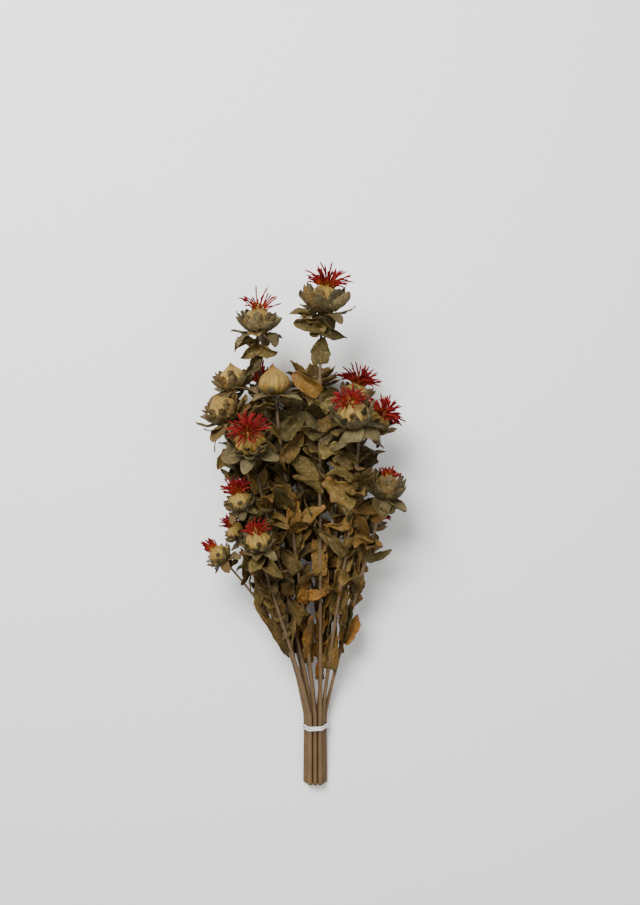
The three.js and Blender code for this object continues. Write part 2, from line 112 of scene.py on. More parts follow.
# %% Find the bundle from the band
TIE_AT = 62 * MM  # from the cut ends to the band
LEAD_OUT = 14 * MM  # how far the stems stay side by side above the band
RISE = np.radians(8)  # of the bundle, off the floor
STEM_PITCH = 5.0 * MM
LAYER = STEM_PITCH * np.sin(np.pi / 3)
SPLAY_AT_CUT = 1.06
SPLAY_AT_LEAD = 1.07
BUNDLE_SLOTS = [5, 4, 3]  # stems in each layer, from the lowest up
ALONG = np.array([0.0, np.cos(RISE), np.sin(RISE)])
ABOVE = np.array([0.0, -np.sin(RISE), np.cos(RISE)])
ACROSS = np.array([1.0, 0.0, 0.0])
band_middle = np.mean(np.array(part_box("elastic_band")), axis=0)
bundle_start = band_middle - TIE_AT * ALONG


def slot_offset(layer, place):
    """How far a stem's place is across and above the middle of the bundle."""
    return (place - (BUNDLE_SLOTS[layer] - 1) / 2) * STEM_PITCH, (layer - 1) * LAYER


def bundle_point(offset, distance, splay):
    """A point of a stem in the bundle, at a distance from the cut ends."""
    return bundle_start + distance * ALONG + splay * (offset[0] * ACROSS + offset[1] * ABOVE)


print("band's middle in mm:", np.round(band_middle / MM, 1))

# %% [markdown]
# ## The stems' routes
# A stem runs straight through the band and then bends smoothly into the axis of its head, so its
# route is two straight lines and a Bezier curve. A side branch is one Bezier curve. Each route is
# sampled finely once and then measured along its length, which makes it easy to ask for the
# point or the direction at any share of the way.

# %% Stem and branch routes
# Each stem's layer and place in the bundle, and each branch's stem and share of the way up it.
STEM_SLOTS = {
    1: (2, 2), 2: (0, 2), 3: (0, 1), 4: (2, 1), 5: (0, 0), 6: (1, 1),
    7: (0, 3), 8: (1, 3), 9: (1, 2), 10: (0, 4), 11: (1, 0), 12: (2, 0),
}
BRANCHES = {13: (7, 0.5), 14: (9, 0.55), 15: (10, 0.42), 16: (11, 0.4), 17: (12, 0.4)}
NOD = 45 * MM  # how far below a head its stem begins to turn into the head's axis
FAN = 0.75  # how much a stem already heads for its flower as it leaves the bundle


class Route:
    """A smooth line through space, asked for by share of its length."""

    def __init__(self, points):
        self.points = points
        steps = np.linalg.norm(np.diff(points, axis=0), axis=1)
        self.travelled = np.concatenate([[0.0], np.cumsum(steps)])
        self.length = self.travelled[-1]

    def at(self, share):
        """Points at the given shares of the way."""
        distance = np.asarray(share) * self.length
        return np.stack([np.interp(distance, self.travelled, p) for p in self.points.T], axis=-1)

    def direction(self, share):
        """Unit directions there, from points a little before and after."""
        share = np.asarray(share)
        before, after = np.clip(share - 0.004, 0, 1), np.clip(share + 0.004, 0, 1)
        return unit(self.at(after) - self.at(before))


def bezier(p0, p1, p2, p3, count=300):
    """Points of the cubic curve (1-t)^3 p0 + 3(1-t)^2 t p1 + 3(1-t) t^2 p2 + t^3 p3."""
    t = np.linspace(0, 1, count)[:, None]
    s = 1 - t
    return s**3 * p0 + 3 * s * s * t * p1 + 3 * s * t * t * p2 + t**3 * p3


def stem_route(head, slot):
    """Cut end, band and lead-out on straight lines, then a curve to the foot of the head."""
    offset = slot_offset(*slot)
    cut = bundle_point(offset, 0, SPLAY_AT_CUT)
    tied = bundle_point(offset, TIE_AT, 1)
    lead = bundle_point(offset, TIE_AT + LEAD_OUT, SPLAY_AT_LEAD)
    reach = np.linalg.norm(head.foot - lead)
    first = unit((1 - FAN) * unit(lead - tied) + FAN * unit(head.foot - lead))
    curve = bezier(lead, lead + first * reach / 3, head.foot - NOD * head.axis, head.foot)
    straight = [np.linspace(cut, tied, 40), np.linspace(tied, lead, 20)[1:]]
    return Route(np.vstack(straight + [curve[1:]]))


def branch_route(head, stem, share):
    """A curve that leaves a stem along it and ends at the foot of the side head."""
    start, leaving = stem.at(share), stem.direction(share)
    reach = np.linalg.norm(head.foot - start)
    arriving = head.foot - 0.3 * reach * head.axis
    return Route(bezier(start, start + 0.35 * reach * leaving, arriving, head.foot))


def carried_by(number):
    """A stem's own number and those of the branches that grow on it."""
    return [number] + [branch for branch, (stem, _) in BRANCHES.items() if stem == number]


routes = {n: stem_route(heads[n], slot) for n, slot in STEM_SLOTS.items()}
routes |= {n: branch_route(heads[n], routes[s], share) for n, (s, share) in BRANCHES.items()}
print("routes in mm:", {n: round(r.length / MM) for n, r in routes.items()})

# %% [markdown]
# ## Meshes from grids
# Every surface here is a grid of points, worked out as whole arrays. A blade is an open grid, and
# a tube, a bud or a floret is a grid that closes round one way, with a lid on each end. Many
# grids of one kind are put into one mesh, with a few numbers stored on every point, such as how
# far along a blade it is, for the materials to read.

# %% Helpers that turn grids into pieces
def grid_quads(rows, columns, closed, looped):
    """The four corners of each cell of a grid.

    The last column is joined to the first if closed, and the last row to the first if looped.
    """
    i = np.arange(rows if looped else rows - 1)[:, None]
    j = np.arange(columns if closed else columns - 1)[None, :]
    next_i, next_j = (i + 1) % rows, (j + 1) % columns
    cells = [i * columns + j, i * columns + next_j, next_i * columns + next_j, next_i * columns + j]
    return np.stack([np.broadcast_to(c, (i.size, j.size)) for c in cells], axis=-1).reshape(-1, 4)


def make_mesh(name, grids, closed, values, looped):
    """One mesh from grids of shape (rows, columns, 3), all joined alike, and their values."""
    loops, sizes, start = [], [], 0
    for grid in grids:
        rows, columns = grid.shape[:2]
        quads = grid_quads(rows, columns, closed, looped) + start
        loops.append(quads.ravel())
        sizes += [4] * len(quads)
        if closed and not looped:
            ring = np.arange(columns) + start
            loops += [ring[::-1], ring + (rows - 1) * columns]
            sizes += [columns, columns]
        start += rows * columns
    points = np.concatenate([g.reshape(-1, 3) for g in grids])
    mesh = bpy.data.meshes.new(name)
    mesh.vertices.add(len(points))
    mesh.vertices.foreach_set("co", points.ravel())
    corner_list = np.concatenate(loops)
    mesh.loops.add(len(corner_list))
    mesh.loops.foreach_set("vertex_index", corner_list)
    mesh.polygons.add(len(sizes))
    mesh.polygons.foreach_set("loop_start", np.concatenate([[0], np.cumsum(sizes)[:-1]]))
    mesh.polygons.foreach_set("loop_total", sizes)
    mesh.update(calc_edges=True)
    mesh.polygons.foreach_set("use_smooth", np.ones(len(sizes), dtype=bool))
    for key, per_grid in values.items():
        layer = mesh.attributes.new(key, "FLOAT", "POINT")
        layer.data.foreach_set("value", np.concatenate([np.ravel(v) for v in per_grid]))
    mesh.validate()
    return mesh


def add_piece(name, grids, values, look, replaced=(), closed=True, looped=False, thickness=0.0):
    """A finished piece: its mesh, its material, its thickness and its place in the solid model."""
    piece = bpy.data.objects.new(name, make_mesh(name, grids, closed, values, looped))
    bpy.context.scene.collection.objects.link(piece)
    piece.data.materials.append(look)
    if thickness:
        wall = piece.modifiers.new("thickness", "SOLIDIFY")
        wall.thickness = thickness
        wall.offset = 0
    if replaced:
        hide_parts(*replaced)
    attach(piece, "root")


def chance(a, b):
    """A repeatable number from 0 to 1 for a pair of numbers: the fraction of a large sine."""
    s = np.sin(np.asarray(a) * 12.9898 + np.asarray(b) * 78.233) * 43758.5453
    return s - np.floor(s)


def mix(low, high, share):
    """low at a share of 0 and high at a share of 1."""
    return low + (high - low) * share


def spread(number, i, low, high):
    """A number between low and high, by chance."""
    return mix(low, high, float(chance(number, i)))


def draws(number, i, ranges):
    """A number for each name in a table of (seed, low, high)."""
    return {key: spread(number, i + seed, low, high) for key, (seed, low, high) in ranges.items()}


print("chances:", np.round(chance(1, np.arange(5)), 3))

# %% [markdown]
# ## Material tools
# Shader arithmetic reads best as arithmetic. The class Number wraps one number socket and turns
# + - * ** and abs into Math nodes, and the class Look adds any other node in one call.

# %% Number and Look
class Number:
    """A number socket of a material. Arithmetic on it adds Math nodes."""

    def __init__(self, look, socket):
        self.look, self.socket = look, socket

    def math(self, operation, *values):
        made = self.look.node("ShaderNodeMath", {"operation": operation}, *values)
        return Number(self.look, made)

    def __add__(self, other):
        return self.math("ADD", self, other)

    def __sub__(self, other):
        return self.math("SUBTRACT", self, other)

    def __rsub__(self, other):
        return self.math("SUBTRACT", other, self)

    def __mul__(self, other):
        return self.math("MULTIPLY", self, other)

    def __pow__(self, other):
        return self.math("POWER", self, other)

    def __abs__(self):
        return self.math("ABSOLUTE", self)

    __radd__ = __add__
    __rmul__ = __mul__

    def sine(self):
        return self.math("SINE", self)

    def clipped(self):
        return self.math("MINIMUM", self.math("MAXIMUM", self, 0.0), 1.0)

    def step(self, low, high):
        """0 below low, 1 above high, and smooth between them."""
        settings = {"interpolation_type": "SMOOTHSTEP"}
        return Number(self.look, self.look.node("ShaderNodeMapRange", settings, self, low, high))


class Look:
    """A material in the making, with its one shader."""

    def __init__(self, name, roughness, gloss=0.25):
        self.material = bpy.data.materials.new(name)
        self.material.use_nodes = True
        self.tree = self.material.node_tree
        self.tree.nodes.clear()
        self.shader = self.tree.nodes.new("ShaderNodeBsdfPrincipled")
        self.shader.inputs["Roughness"].default_value = roughness
        self.shader.inputs["Specular IOR Level"].default_value = gloss
        output = self.tree.nodes.new("ShaderNodeOutputMaterial")
        self.tree.links.new(self.shader.outputs[0], output.inputs["Surface"])

    def node(self, kind, settings, *values, out=0, **named):
        """Adds a node, sets it up, fills or links its sockets and returns one of its outputs."""
        made = self.tree.nodes.new(kind)
        for key, value in settings.items():
            setattr(made, key, value)
        pairs = list(zip(made.inputs, values)) + [(made.inputs[k], v) for k, v in named.items()]
        for socket, value in pairs:
            if isinstance(value, Number):
                value = value.socket
            if isinstance(value, bpy.types.NodeSocket):
                self.tree.links.new(value, socket)
            elif value is not None:
                socket.default_value = value
        return made.outputs[out]

    def stored(self, name):
        """A number that the mesh keeps on its points."""
        return Number(self, self.node("ShaderNodeAttribute", {"attribute_name": name}, out="Fac"))

    def noise(self, scale, detail=3.0, stretch=(1.0, 1.0, 1.0)):
        """Cloudy noise from 0 to 1 at a scale in lumps to the metre."""
        place = self.node("ShaderNodeTexCoord", {}, out="Object")
        place = self.node("ShaderNodeMapping", {}, place, Scale=stretch)
        return Number(self, self.node("ShaderNodeTexNoise", {}, place, None, scale, detail))

    def blend(self, share, a, b):
        """The colour a where share is 0 and b where it is 1."""
        made = self.tree.nodes.new("ShaderNodeMix")
        made.data_type = "RGBA"
        self.tree.links.new(share.socket, made.inputs[0])
        for socket, value in ((made.inputs[6], a), (made.inputs[7], b)):
            if isinstance(value, bpy.types.NodeSocket):
                self.tree.links.new(value, socket)
            else:
                socket.default_value = (*value, 1.0)
        return made.outputs[2]

    def relief(self, height, depth, strength=0.9):
        """Bumps of a depth in metres from a height of 0 to 1."""
        bump = self.node("ShaderNodeBump", {}, Strength=strength, Distance=depth, Height=height)
        self.tree.links.new(bump, self.shader.inputs["Normal"])

    def set(self, **links):
        """Links sockets of the shader, with _ for a space in their names."""
        for name, value in links.items():
            socket = value.socket if isinstance(value, Number) else value
            self.tree.links.new(socket, self.shader.inputs[name.replace("_", " ")])


print("material tools ready")

# %% [markdown]
# ## Leaf and bract colours
# Dried safflower leaves are olive brown, greyer near the heads and more orange low on the stems.
# Every blade keeps a few numbers: how far along and across it each point is, a tone of its own
# and how warm it is; on leaves low inside the bunch the tone is darkened as painted shade. The
# colour mixes those with cloudy noise, fine side veins branch off the midrib at a slant, and
# thin dark lines along the wrinkles are painted shade.

# %% The blade material
def blade_look(name, dark, light, warm_colour, tip_colour, roughness):
    """Leafy blades: dark to light by tone and blotches, warmed, veined, browned at the tip, and
    darkened along the wrinkles as painted shade.
    """
    look = Look(name, roughness)
    along, across = look.stored("along"), look.stored("across")
    tone, warm = look.stored("tone"), look.stored("warm")
    blotches = look.noise(110.0, 4.0)
    patches = look.noise(45.0, 2.0)
    grain = look.noise(700.0, 3.0)
    wrinkles_and_shade = (1 - abs(look.noise(240.0, 2.0) * 2 - 1)) ** 6
    midrib = 1 - abs(across).step(0.02, 0.08)
    side_veins = ((along * 60 - abs(across) * 14).sine() * 0.5 + 0.5).step(0.72, 0.98)
    veins = (midrib + side_veins * 0.5 * (1 - abs(across) * 0.5)).clipped()
    shade = (tone * 0.75 + blotches * 1.3 - 0.62 + grain * 0.25).clipped()
    colour = look.blend(shade, dark, light)
    colour = look.blend((warm * patches * 2.6 - 0.35 * warm).clipped(), colour, warm_colour)
    tips = (along.step(0.75, 1.0) * (tone * 0.4 + warm)).clipped()
    colour = look.blend(tips * 0.7, colour, tip_colour)
    colour = look.blend(veins * 0.28, colour, tuple(1.6 * c + 0.01 for c in light))
    # Painted shade: the wrinkles are darkened.
    colour = look.blend(wrinkles_and_shade * 0.45, colour, dark)
    look.set(Base_Color=colour, Roughness=mix(roughness - 0.1, roughness + 0.12, blotches))
    look.relief(veins * 0.35 + grain * 0.25 + blotches * 0.8 - wrinkles_and_shade * 0.5 + 0.5, 0.9 * MM, 1.0)
    return look.material


LEAF_LOOK = blade_look(
    "dried_leaf", dark=(0.015, 0.011, 0.002), light=(0.15, 0.105, 0.026),
    warm_colour=(0.21, 0.085, 0.008), tip_colour=(0.28, 0.11, 0.04), roughness=0.62,
)
BRACT_LOOK = blade_look(
    "dried_bract", dark=(0.026, 0.02, 0.006), light=(0.165, 0.13, 0.056),
    warm_colour=(0.15, 0.08, 0.016), tip_colour=(0.18, 0.09, 0.025), roughness=0.66,
)
print("blade materials:", LEAF_LOOK.name, BRACT_LOOK.name)

# %% Bud, floret, stem and band materials
def bud_look():
    """Papery tan scales with fine lengthwise veins, orange at the tip and darker towards the foot, with
    painted shade in the grooves.
    """
    look = Look("papery_bud", 0.62)
    along, around, tone = look.stored("along"), look.stored("around"), look.stored("tone")
    groove = look.stored("groove")
    clouds = look.noise(130.0, 4.0)
    patches = look.noise(60.0, 2.0)
    fibres = ((around * 44 + clouds * 8).sine() * 0.5 + 0.5).step(0.4, 1.0)
    shade = (clouds * 1.5 - 0.35 + tone * 0.3).clipped()
    colour = look.blend(shade, (0.12, 0.064, 0.009), (0.33, 0.215, 0.048))
    colour = look.blend(fibres * 0.3, colour, (0.43, 0.3, 0.08))
    colour = look.blend(patches.step(0.55, 0.75) * 0.6, colour, (0.2, 0.08, 0.01))
    # Painted shade: the grooves between the ribs are darkened.
    colour = look.blend(groove.step(0.25, 1.0) * 0.75, colour, (0.075, 0.04, 0.006))
    colour = look.blend(along.step(0.7, 1.0) * 0.5, colour, (0.33, 0.15, 0.025))
    # The bud is darker towards its foot.
    low = 1 - along.step(0.05, 0.42)
    colour = look.blend(low * 0.65, colour, (0.07, 0.05, 0.012))
    look.set(Base_Color=colour)
    look.relief(fibres * 0.6 + clouds * 0.6, 0.5 * MM)
    return look.material


def floret_look():
    """Dry threads: orange at the foot, crimson further out, and paler red at some tips."""
    look = Look("crimson_floret", 0.75, 0.1)
    along, tone = look.stored("along"), look.stored("tone")
    colour = look.blend(along.step(0.05, 0.5), (0.28, 0.05, 0.004), (0.12, 0.003, 0.005))
    colour = look.blend((tone * tone * 0.6).clipped(), colour, (0.28, 0.024, 0.016))
    look.set(Base_Color=colour)
    return look.material


def stem_look():
    """Dry straw: pale beige with grey and brown streaks along it."""
    look = Look("dry_stem", 0.6)
    tone, warm = look.stored("tone"), look.stored("warm")
    streaks = look.noise(300.0, 3.0, stretch=(1.0, 0.06, 1.0))
    clouds = look.noise(40.0, 3.0)
    shade = (streaks * 0.9 + clouds * 0.5 - 0.3 + tone * 0.25).clipped()
    colour = look.blend(shade, (0.045, 0.027, 0.012), (0.16, 0.11, 0.062))
    colour = look.blend((warm * clouds).clipped(), colour, (0.2, 0.11, 0.04))
    look.set(Base_Color=colour)
    look.relief(streaks, 0.3 * MM)
    return look.material


def band_look():
    """Milky elastic: smooth, a little shiny, with faint stretch marks along it."""
    look = Look("milky_elastic", 0.32, 0.5)
    marks = look.noise(500.0, 2.0, stretch=(0.2, 1.0, 0.2))
    look.set(Base_Color=look.blend(marks, (0.62, 0.61, 0.57), (0.86, 0.85, 0.82)))
    look.shader.inputs["Subsurface Weight"].default_value = 0.2
    look.shader.inputs["Subsurface Radius"].default_value = (0.002, 0.002, 0.002)
    look.relief(marks, 0.1 * MM, 0.4)
    return look.material


BUD_LOOK, FLORET_LOOK, STEM_LOOK, BAND_LOOK = bud_look(), floret_look(), stem_look(), band_look()
print("four more materials")

# %% [markdown]
# ## Buds
# A bud is an onion shape: a round section that swells, closes in and draws out into a point. A
# sine of a power of the height gives that outline in one line. Fourteen ribs with sharp grooves
# between them, and three broad folds, are the papery scales that wrap it and wind round it.

# %% Make the buds
BUD_ROWS, BUD_COLUMNS = 40, 84


def bud_outline(share):
    """The bud's radius up its height: a sine of pi (0.09 + 0.91 share^0.82), drawn out on top."""
    share = np.clip(share, 0, 1)
    return np.clip(np.sin(np.pi * (0.09 + 0.91 * share**0.82)), 0, 1) ** (1 + 0.9 * share**4)


def clear_of_buds(points, skin):
    """Moves points that are inside a bud straight out from its axis, to a skin over its surface."""
    for head in heads.values():
        away = points - head.middle
        height = away @ head.axis
        share = (height / head.radius + BUD_FOOT) / (BUD_FOOT + BUD_TIP)
        spoke = away - height[..., None] * head.axis
        distance = np.maximum(np.linalg.norm(spoke, axis=-1), 1e-6)
        least = head.radius * bud_outline(share) * 1.04 + skin
        inside = (share > 0) & (share < 1) & (distance < least)
        factor = np.where(inside, least / distance, 1.0)
        points = head.middle + height[..., None] * head.axis + factor[..., None] * spoke
    return points


def bud_grid(head):
    """Rings up the bud; each radius is the outline times 1 + lobes that wind with the height.

    The ribs are the size of a cosine of wind, 7 times the angle with waves added, so that they
    meet in sharp grooves; the folds are three more of those sizes, and the dents are plain sines.
    """
    number = head.number
    share = np.linspace(0.0, 0.995, BUD_ROWS)[:, None]
    around = np.linspace(0, 2 * np.pi, BUD_COLUMNS, endpoint=False)[None, :]
    wind = around * 7 + 1.3 * share * (1 if number % 2 else -1) + 0.5 * np.sin(2 * around + number)
    wind = wind + 0.4 * np.sin(5 * around + 2 * number)
    groove = 1 - np.abs(np.cos(wind)) ** 0.6
    ribs = 0.09 * (0.3 - groove)
    folds = 0.06 * (np.abs(np.cos(1.5 * around + 2.2 * share + number)) ** 0.5 - 0.75)
    lobes = (ribs + folds) * np.sin(np.pi * np.clip(share * 1.05, 0, 1)) ** 0.5
    dents = 0.025 * np.sin(3 * around + 5 * share + number) * np.sin(np.pi * share)
    across = head.radius * bud_outline(share) * (1 + lobes + dents)
    height = head.radius * (share * (BUD_FOOT + BUD_TIP) - BUD_FOOT)
    values = {"along": share, "around": around, "groove": groove, "tone": chance(number, 5)}
    values = {key: [np.broadcast_to(value, across.shape)] for key, value in values.items()}
    return head.place(across, around + 0 * share, height + 0 * around), values


for number, head in heads.items():
    grid, stored = bud_grid(head)
    add_piece(f"scaly_bud_{number:02d}", [grid], stored, BUD_LOOK, [f"bud_{number:02d}"])
print("buds made:", len(heads))

# %% [markdown]
# ## Blades
# Leaves and bracts are all blades. A blade starts at its root, runs out along a midrib that bends
# and sways, and is widest in its lower half. Across the midrib it is an arc, so a strongly curved
# one rolls up or cups. Drying adds ripples along the edges and sharp creases, and there is a small
# tooth at even steps. One function makes them all, from a dictionary of sizes.

# %% The blade function
LEAF_GRID = (26, 9)  # points along and across
FLOOR_GAP = 0.45 * MM
BUD_GAP = 0.9 * MM
NEARLY_ROUND = 6.28  # radians, times a chance for a phase or a first angle


def blade_grid(b, rows, columns):
    """A blade as a grid.

    Midrib: steps of length/rows along a direction that turns away from the face by bend * u^1.4
    and sideways by sway * u. Across: an arc that turns by roll from midrib to edge, plus fold.
    Edge: the width times 1 + teeth, and ragged. Off the surface: ripples that grow with v^2, and
    creases, which are sharp because they are sizes of sines.
    """
    u = np.linspace(0, 1, rows)
    v = np.linspace(-1, 1, columns)
    side = np.cross(b["out"], b["face"])
    turn, sway = b["bend"] * u**1.4, b["sway"] * u
    out, normal = turned(turn, b["out"], -b["face"]), turned(turn, b["face"], b["out"])
    forward = unit(turned(sway, out, side))
    steps = forward * b["length"] / (rows - 1)
    midrib = b["root"] + np.vstack([np.zeros(3), np.cumsum(steps[:-1], axis=0)])
    right = unit(np.cross(forward, normal))
    twist = b["twist"] * u
    across, lift = turned(twist, right, normal), turned(twist, normal, -right)
    body = b["neck"] + 1.45 * u**0.65 * (1 - u) ** 0.3
    phase = NEARLY_ROUND * chance(b["seed"], np.arange(7))
    ragged = 1 + b["ragged"] * (np.sin(15 * u + phase[5]) + 0.7 * np.sin(29 * u + phase[6]))
    half = (0.5 * b["width"] * np.clip(1 - u, 0.004, 1) ** b["point"] * body * ragged)[:, None]
    teeth = b["tooth"] * (1 - np.abs(np.mod(u * b["teeth"], 1) * 2 - 1)) ** 1.5
    edge = np.abs(v)[None, :]
    reach = half * np.sign(v) * (edge + teeth[:, None] * edge**6)
    roll = b["roll"] * (0.4 + 0.6 * np.sin(np.pi * np.clip(u, 0, 1)))[:, None]
    roll = np.where(np.abs(roll) < 1e-3, 1e-3, roll)
    flat = half * np.sign(reach) * np.sin(roll * np.abs(reach) / half) / roll
    high = half * (1 - np.cos(roll * np.abs(reach) / half)) / roll
    left = (v < 0)[None, :] * 1.7
    waves = np.sin(2 * np.pi * b["waves"] * u[:, None] + phase[0] + left)
    high = high + half * edge * b["fold"] + 0.5 * b["width"] * b["ripple"] * edge**2 * waves
    p, q = b["length"] * u[:, None], b["width"] * 0.5 * v[None, :]
    creases = (
        np.abs(np.sin(p * 150 + q * 260 + phase[1]))
        + np.abs(np.sin(p * 240 - q * 330 + phase[2]))
        + 0.6 * np.abs(np.sin(p * 430 + q * 190 + phase[3]))
        + 0.5 * np.sin(p * 620 - q * 800 + phase[4])
        - 1.6
    )
    high = high + b["crumple"] * creases * np.sin(np.pi * np.clip(u + 0.08, 0, 1))[:, None]
    grid = midrib[:, None, :] + flat[..., None] * across[:, None, :]
    grid = clear_of_buds(grid + high[..., None] * lift[:, None, :], BUD_GAP)
    grid[..., 2] = np.maximum(grid[..., 2], FLOOR_GAP)
    return grid


def add_blades(name, blades, grid_size, look, thickness, replaced=()):
    """All the blades of one stem or head as one piece."""
    rows, columns = grid_size
    u = np.broadcast_to(np.linspace(0, 1, rows)[:, None], grid_size)
    v = np.broadcast_to(np.linspace(-1, 1, columns)[None, :], grid_size)
    values = {
        "along": [u] * len(blades),
        "across": [v] * len(blades),
        "tone": [np.full(grid_size, b["tone"]) for b in blades],
        "warm": [np.full(grid_size, b["warm"]) for b in blades],
    }
    grids = [blade_grid(b, rows, columns) for b in blades]
    add_piece(name, grids, values, look, replaced, closed=False, thickness=thickness)


print("a leaf has", LEAF_GRID[0] * LEAF_GRID[1], "points")

# %% [markdown]
# ## Stems
# A stem is a tube along its route, ridged lengthwise and swollen a little where each leaf sits.
# The cut end is a flat lid.

# %% Make the stems
STEM_RADII = (2.2 * MM, 1.45 * MM)  # at the cut end and at the neck
BRANCH_RADII = (1.45 * MM, 1.1 * MM)
STEM_COLUMNS = 14
STEM_STEP = 2.5 * MM
KNOT_SWELL, KNOT_LENGTH = 0.28, 2.2 * MM


def sides(tangent):
    """The directions to the right of a tangent and on top of it."""
    right = unit(np.cross(tangent, UP))
    return right, np.cross(right, tangent)


def tube_grid(route, start, end, seed, knots):
    """Rings along a route; each radius is a mix of start and end times ridges and knots."""
    share = np.linspace(0, 1, int(route.length / STEM_STEP))
    right, top = sides(route.direction(share))
    around = np.linspace(0, 2 * np.pi, STEM_COLUMNS, endpoint=False)
    radius = mix(start, end, share)
    for knot in knots:
        away = (share - knot) * route.length / KNOT_LENGTH
        radius = radius * (1 + KNOT_SWELL * np.exp(-(away**2)))
    ridges = 1 + 0.05 * np.cos(5 * around[None, :] + seed + 3 * share[:, None])
    reach = radius[:, None] * ridges
    spokes = turned(around, top[:, None, :], right[:, None, :])
    grid = route.at(share)[:, None, :] + reach[..., None] * spokes
    grid[..., 2] = np.maximum(grid[..., 2], 0)  # the lowest stems lie on the floor
    return grid


def leaf_shares(route, number, count, first, last):
    """Shares of the way where the leaves sit: even steps, each moved on a little by chance."""
    i = np.arange(count)
    return mix(first, route.length - last, (i + 0.6 * chance(number, i)) / count) / route.length


# How many large leaves, and how far from the foot the first is and from the head the last.
STEM_LEAVES = (5, 128 * MM, 34 * MM)
BRANCH_LEAVES = (2, 25 * MM, 20 * MM)
shares = {}
for number, route in routes.items():
    rule = STEM_LEAVES if number in STEM_SLOTS else BRANCH_LEAVES
    shares[number] = leaf_shares(route, number, *rule)
for number in STEM_SLOTS:
    grids = []
    for n in carried_by(number):
        radii = STEM_RADII if n in STEM_SLOTS else BRANCH_RADII
        grids.append(tube_grid(routes[n], *radii, n, shares[n]))
    stored = {
        "tone": [np.full(g.shape[:2], chance(number, 9)) for g in grids],
        "warm": [0.7 * (1 - np.clip((g[..., 1] - band_middle[1]) / 0.2, 0, 1)) for g in grids],
    }
    add_piece(f"stalk_{number:02d}", grids, stored, STEM_LOOK, [f"stem_{number:02d}"])
print("stems made:", len(STEM_SLOTS))

# %% [markdown]
# ## Leaves
# The leaves climb a stem by the golden angle, so that none shades the next. In a tied bunch each
# one turns to where there is room, so a few places round the stem are tried, and the one whose
# outer half is farthest from every stem, every bud, the surface below and the outline of the
# bunch is kept.

# %% Place the leaves
GOLDEN_ANGLE = np.pi * (3 - np.sqrt(5))
SIDESTEPS = [0, 0.7, -0.7, 1.4, -1.4, 2.1, -2.1]
stem_points = np.vstack([r.at(np.linspace(0, 1, 41)) for r in routes.values()])
bud_middles = np.array([h.middle for h in heads.values()])
bud_radii = np.array([h.radius for h in heads.values()])
LEAF_ROOT = 0.7 * MM  # from the middle of a stem
WAIST = 13 * MM  # half the bunch's width at the band
SHOULDER = 150 * MM  # the height over the band from which it widens faster
FLARE, MORE_FLARE = 0.26, 0.45  # half widths gained per height, and more of it over the shoulder
LEAN = 0.06  # how far the bunch leans to the left, per length


def opened(root, away, forward, shape):
    """A blade at a root that opens from forward towards away by the angle open."""
    out, face = turned(shape["open"], forward, away), turned(shape["open"], -away, forward)
    return {"root": root, "out": out, "face": face, **shape}


def leaf_at(route, share, angle, shape):
    """A leaf at a share of the way up its stem and an angle round it."""
    tangent = route.direction(share)
    away = turned(angle, *sides(tangent))
    return opened(route.at(share) + LEAF_ROOT * away, away, tangent, shape)


def outline(height):
    """Half the bunch's width at a height over the band: narrow at the band, then ever wider."""
    return WAIST + FLARE * height + np.maximum(0, height - SHOULDER) * MORE_FLARE


def room_round(leaf):
    """The least distance from three points of the leaf to stems, buds, floor and outline."""
    k = leaf["bend"] if abs(leaf["bend"]) > 1e-3 else 1e-3
    least = []
    for u in (0.45, 0.75, 1.0):
        point = leaf["root"] + leaf["out"] * leaf["length"] * np.sin(k * u) / k
        point = point - leaf["face"] * leaf["length"] * (1 - np.cos(k * u)) / k
        least.append(np.linalg.norm(stem_points - point, axis=1).min())
        least.append((np.linalg.norm(bud_middles - point, axis=1) - bud_radii).min())
        least.append(point[2] + 1 * MM)
        across, along, _ = point - band_middle
        least.append(outline(along) - abs(across + LEAN * along))
    return min(least)


def roomiest(route, share, angle, shape):
    """Of a leaf's possible places round its stem, the one with the most room."""
    places = (leaf_at(route, share, angle + step, shape) for step in SIDESTEPS)
    return max(places, key=room_round)


# The tables here and below hold the seed, least and most of each size that is left to chance.
DRYING = {
    "sway": (1000, -0.6, 0.6), "roll": (1040, -1.0, 1.3), "ripple": (1080, 0.05, 0.3),
    "waves": (1120, 1.0, 2.4), "ragged": (1180, 0.02, 0.1), "tooth": (1200, 0.0, 0.12),
    "point": (1240, 0.35, 0.75), "tone": (1280, 0.0, 1.0),
}
WARMTH = {3: 0.6, 5: 0.5, 11: 0.3, 12: 0.35, 16: 0.3, 17: 0.3}  # the stems that dried greener
MOSTLY_GREEN_AT = 300 * MM  # over the band


def dried(number, i, height):
    """What drying does to a leaf: its roll, ripples, crumple and colours."""
    low_down = np.clip(1.25 - height / MOSTLY_GREEN_AT, 0, 1)  # the lowest leaves dried brownest
    return {
        **draws(number, i, DRYING),
        "crumple": spread(number, i + 1160, 0.5, 1.1) * MM,
        "teeth": 9,
        "neck": 0.6,
        "warm": WARMTH.get(number, 1.0) * low_down * spread(number, i + 1320, 0, 1) ** 1.5,
        "seed": 17 * number + i,
    }


def stem_leaves(number):
    """The leaves up the length of a stem or branch."""
    route, count = routes[number], len(shares[number])
    leaves = []
    for i, share in enumerate(shares[number]):
        up = i / count
        sizes = {
            "open": (80, 0.12, mix(0.3, 1.0, up)), "bend": (200, -0.4, mix(0.5, 1.5, up)),
            "twist": (240, -1.0, 1.0), "fold": (280, 0.1, 0.7),
        }
        shape = {
            **draws(number, i, sizes),
            "length": mix(58, 42, up) * spread(number, i + 120, 0.85, 1.1) * MM,
            "width": mix(16, 20, up) * spread(number, i + 160, 0.85, 1.15) * MM,
            **dried(number, i, route.at(share)[1] - band_middle[1]),
        }
        angle = GOLDEN_ANGLE * i + NEARLY_ROUND * chance(number, 40)
        leaves.append(roomiest(route, share, angle, shape))
    return leaves


COLLAR = {
    "open": (360, 1.1, 1.6), "bend": (480, -0.9, 0.9), "twist": (520, -0.5, 0.5),
    "fold": (560, 0.1, 0.5),
}


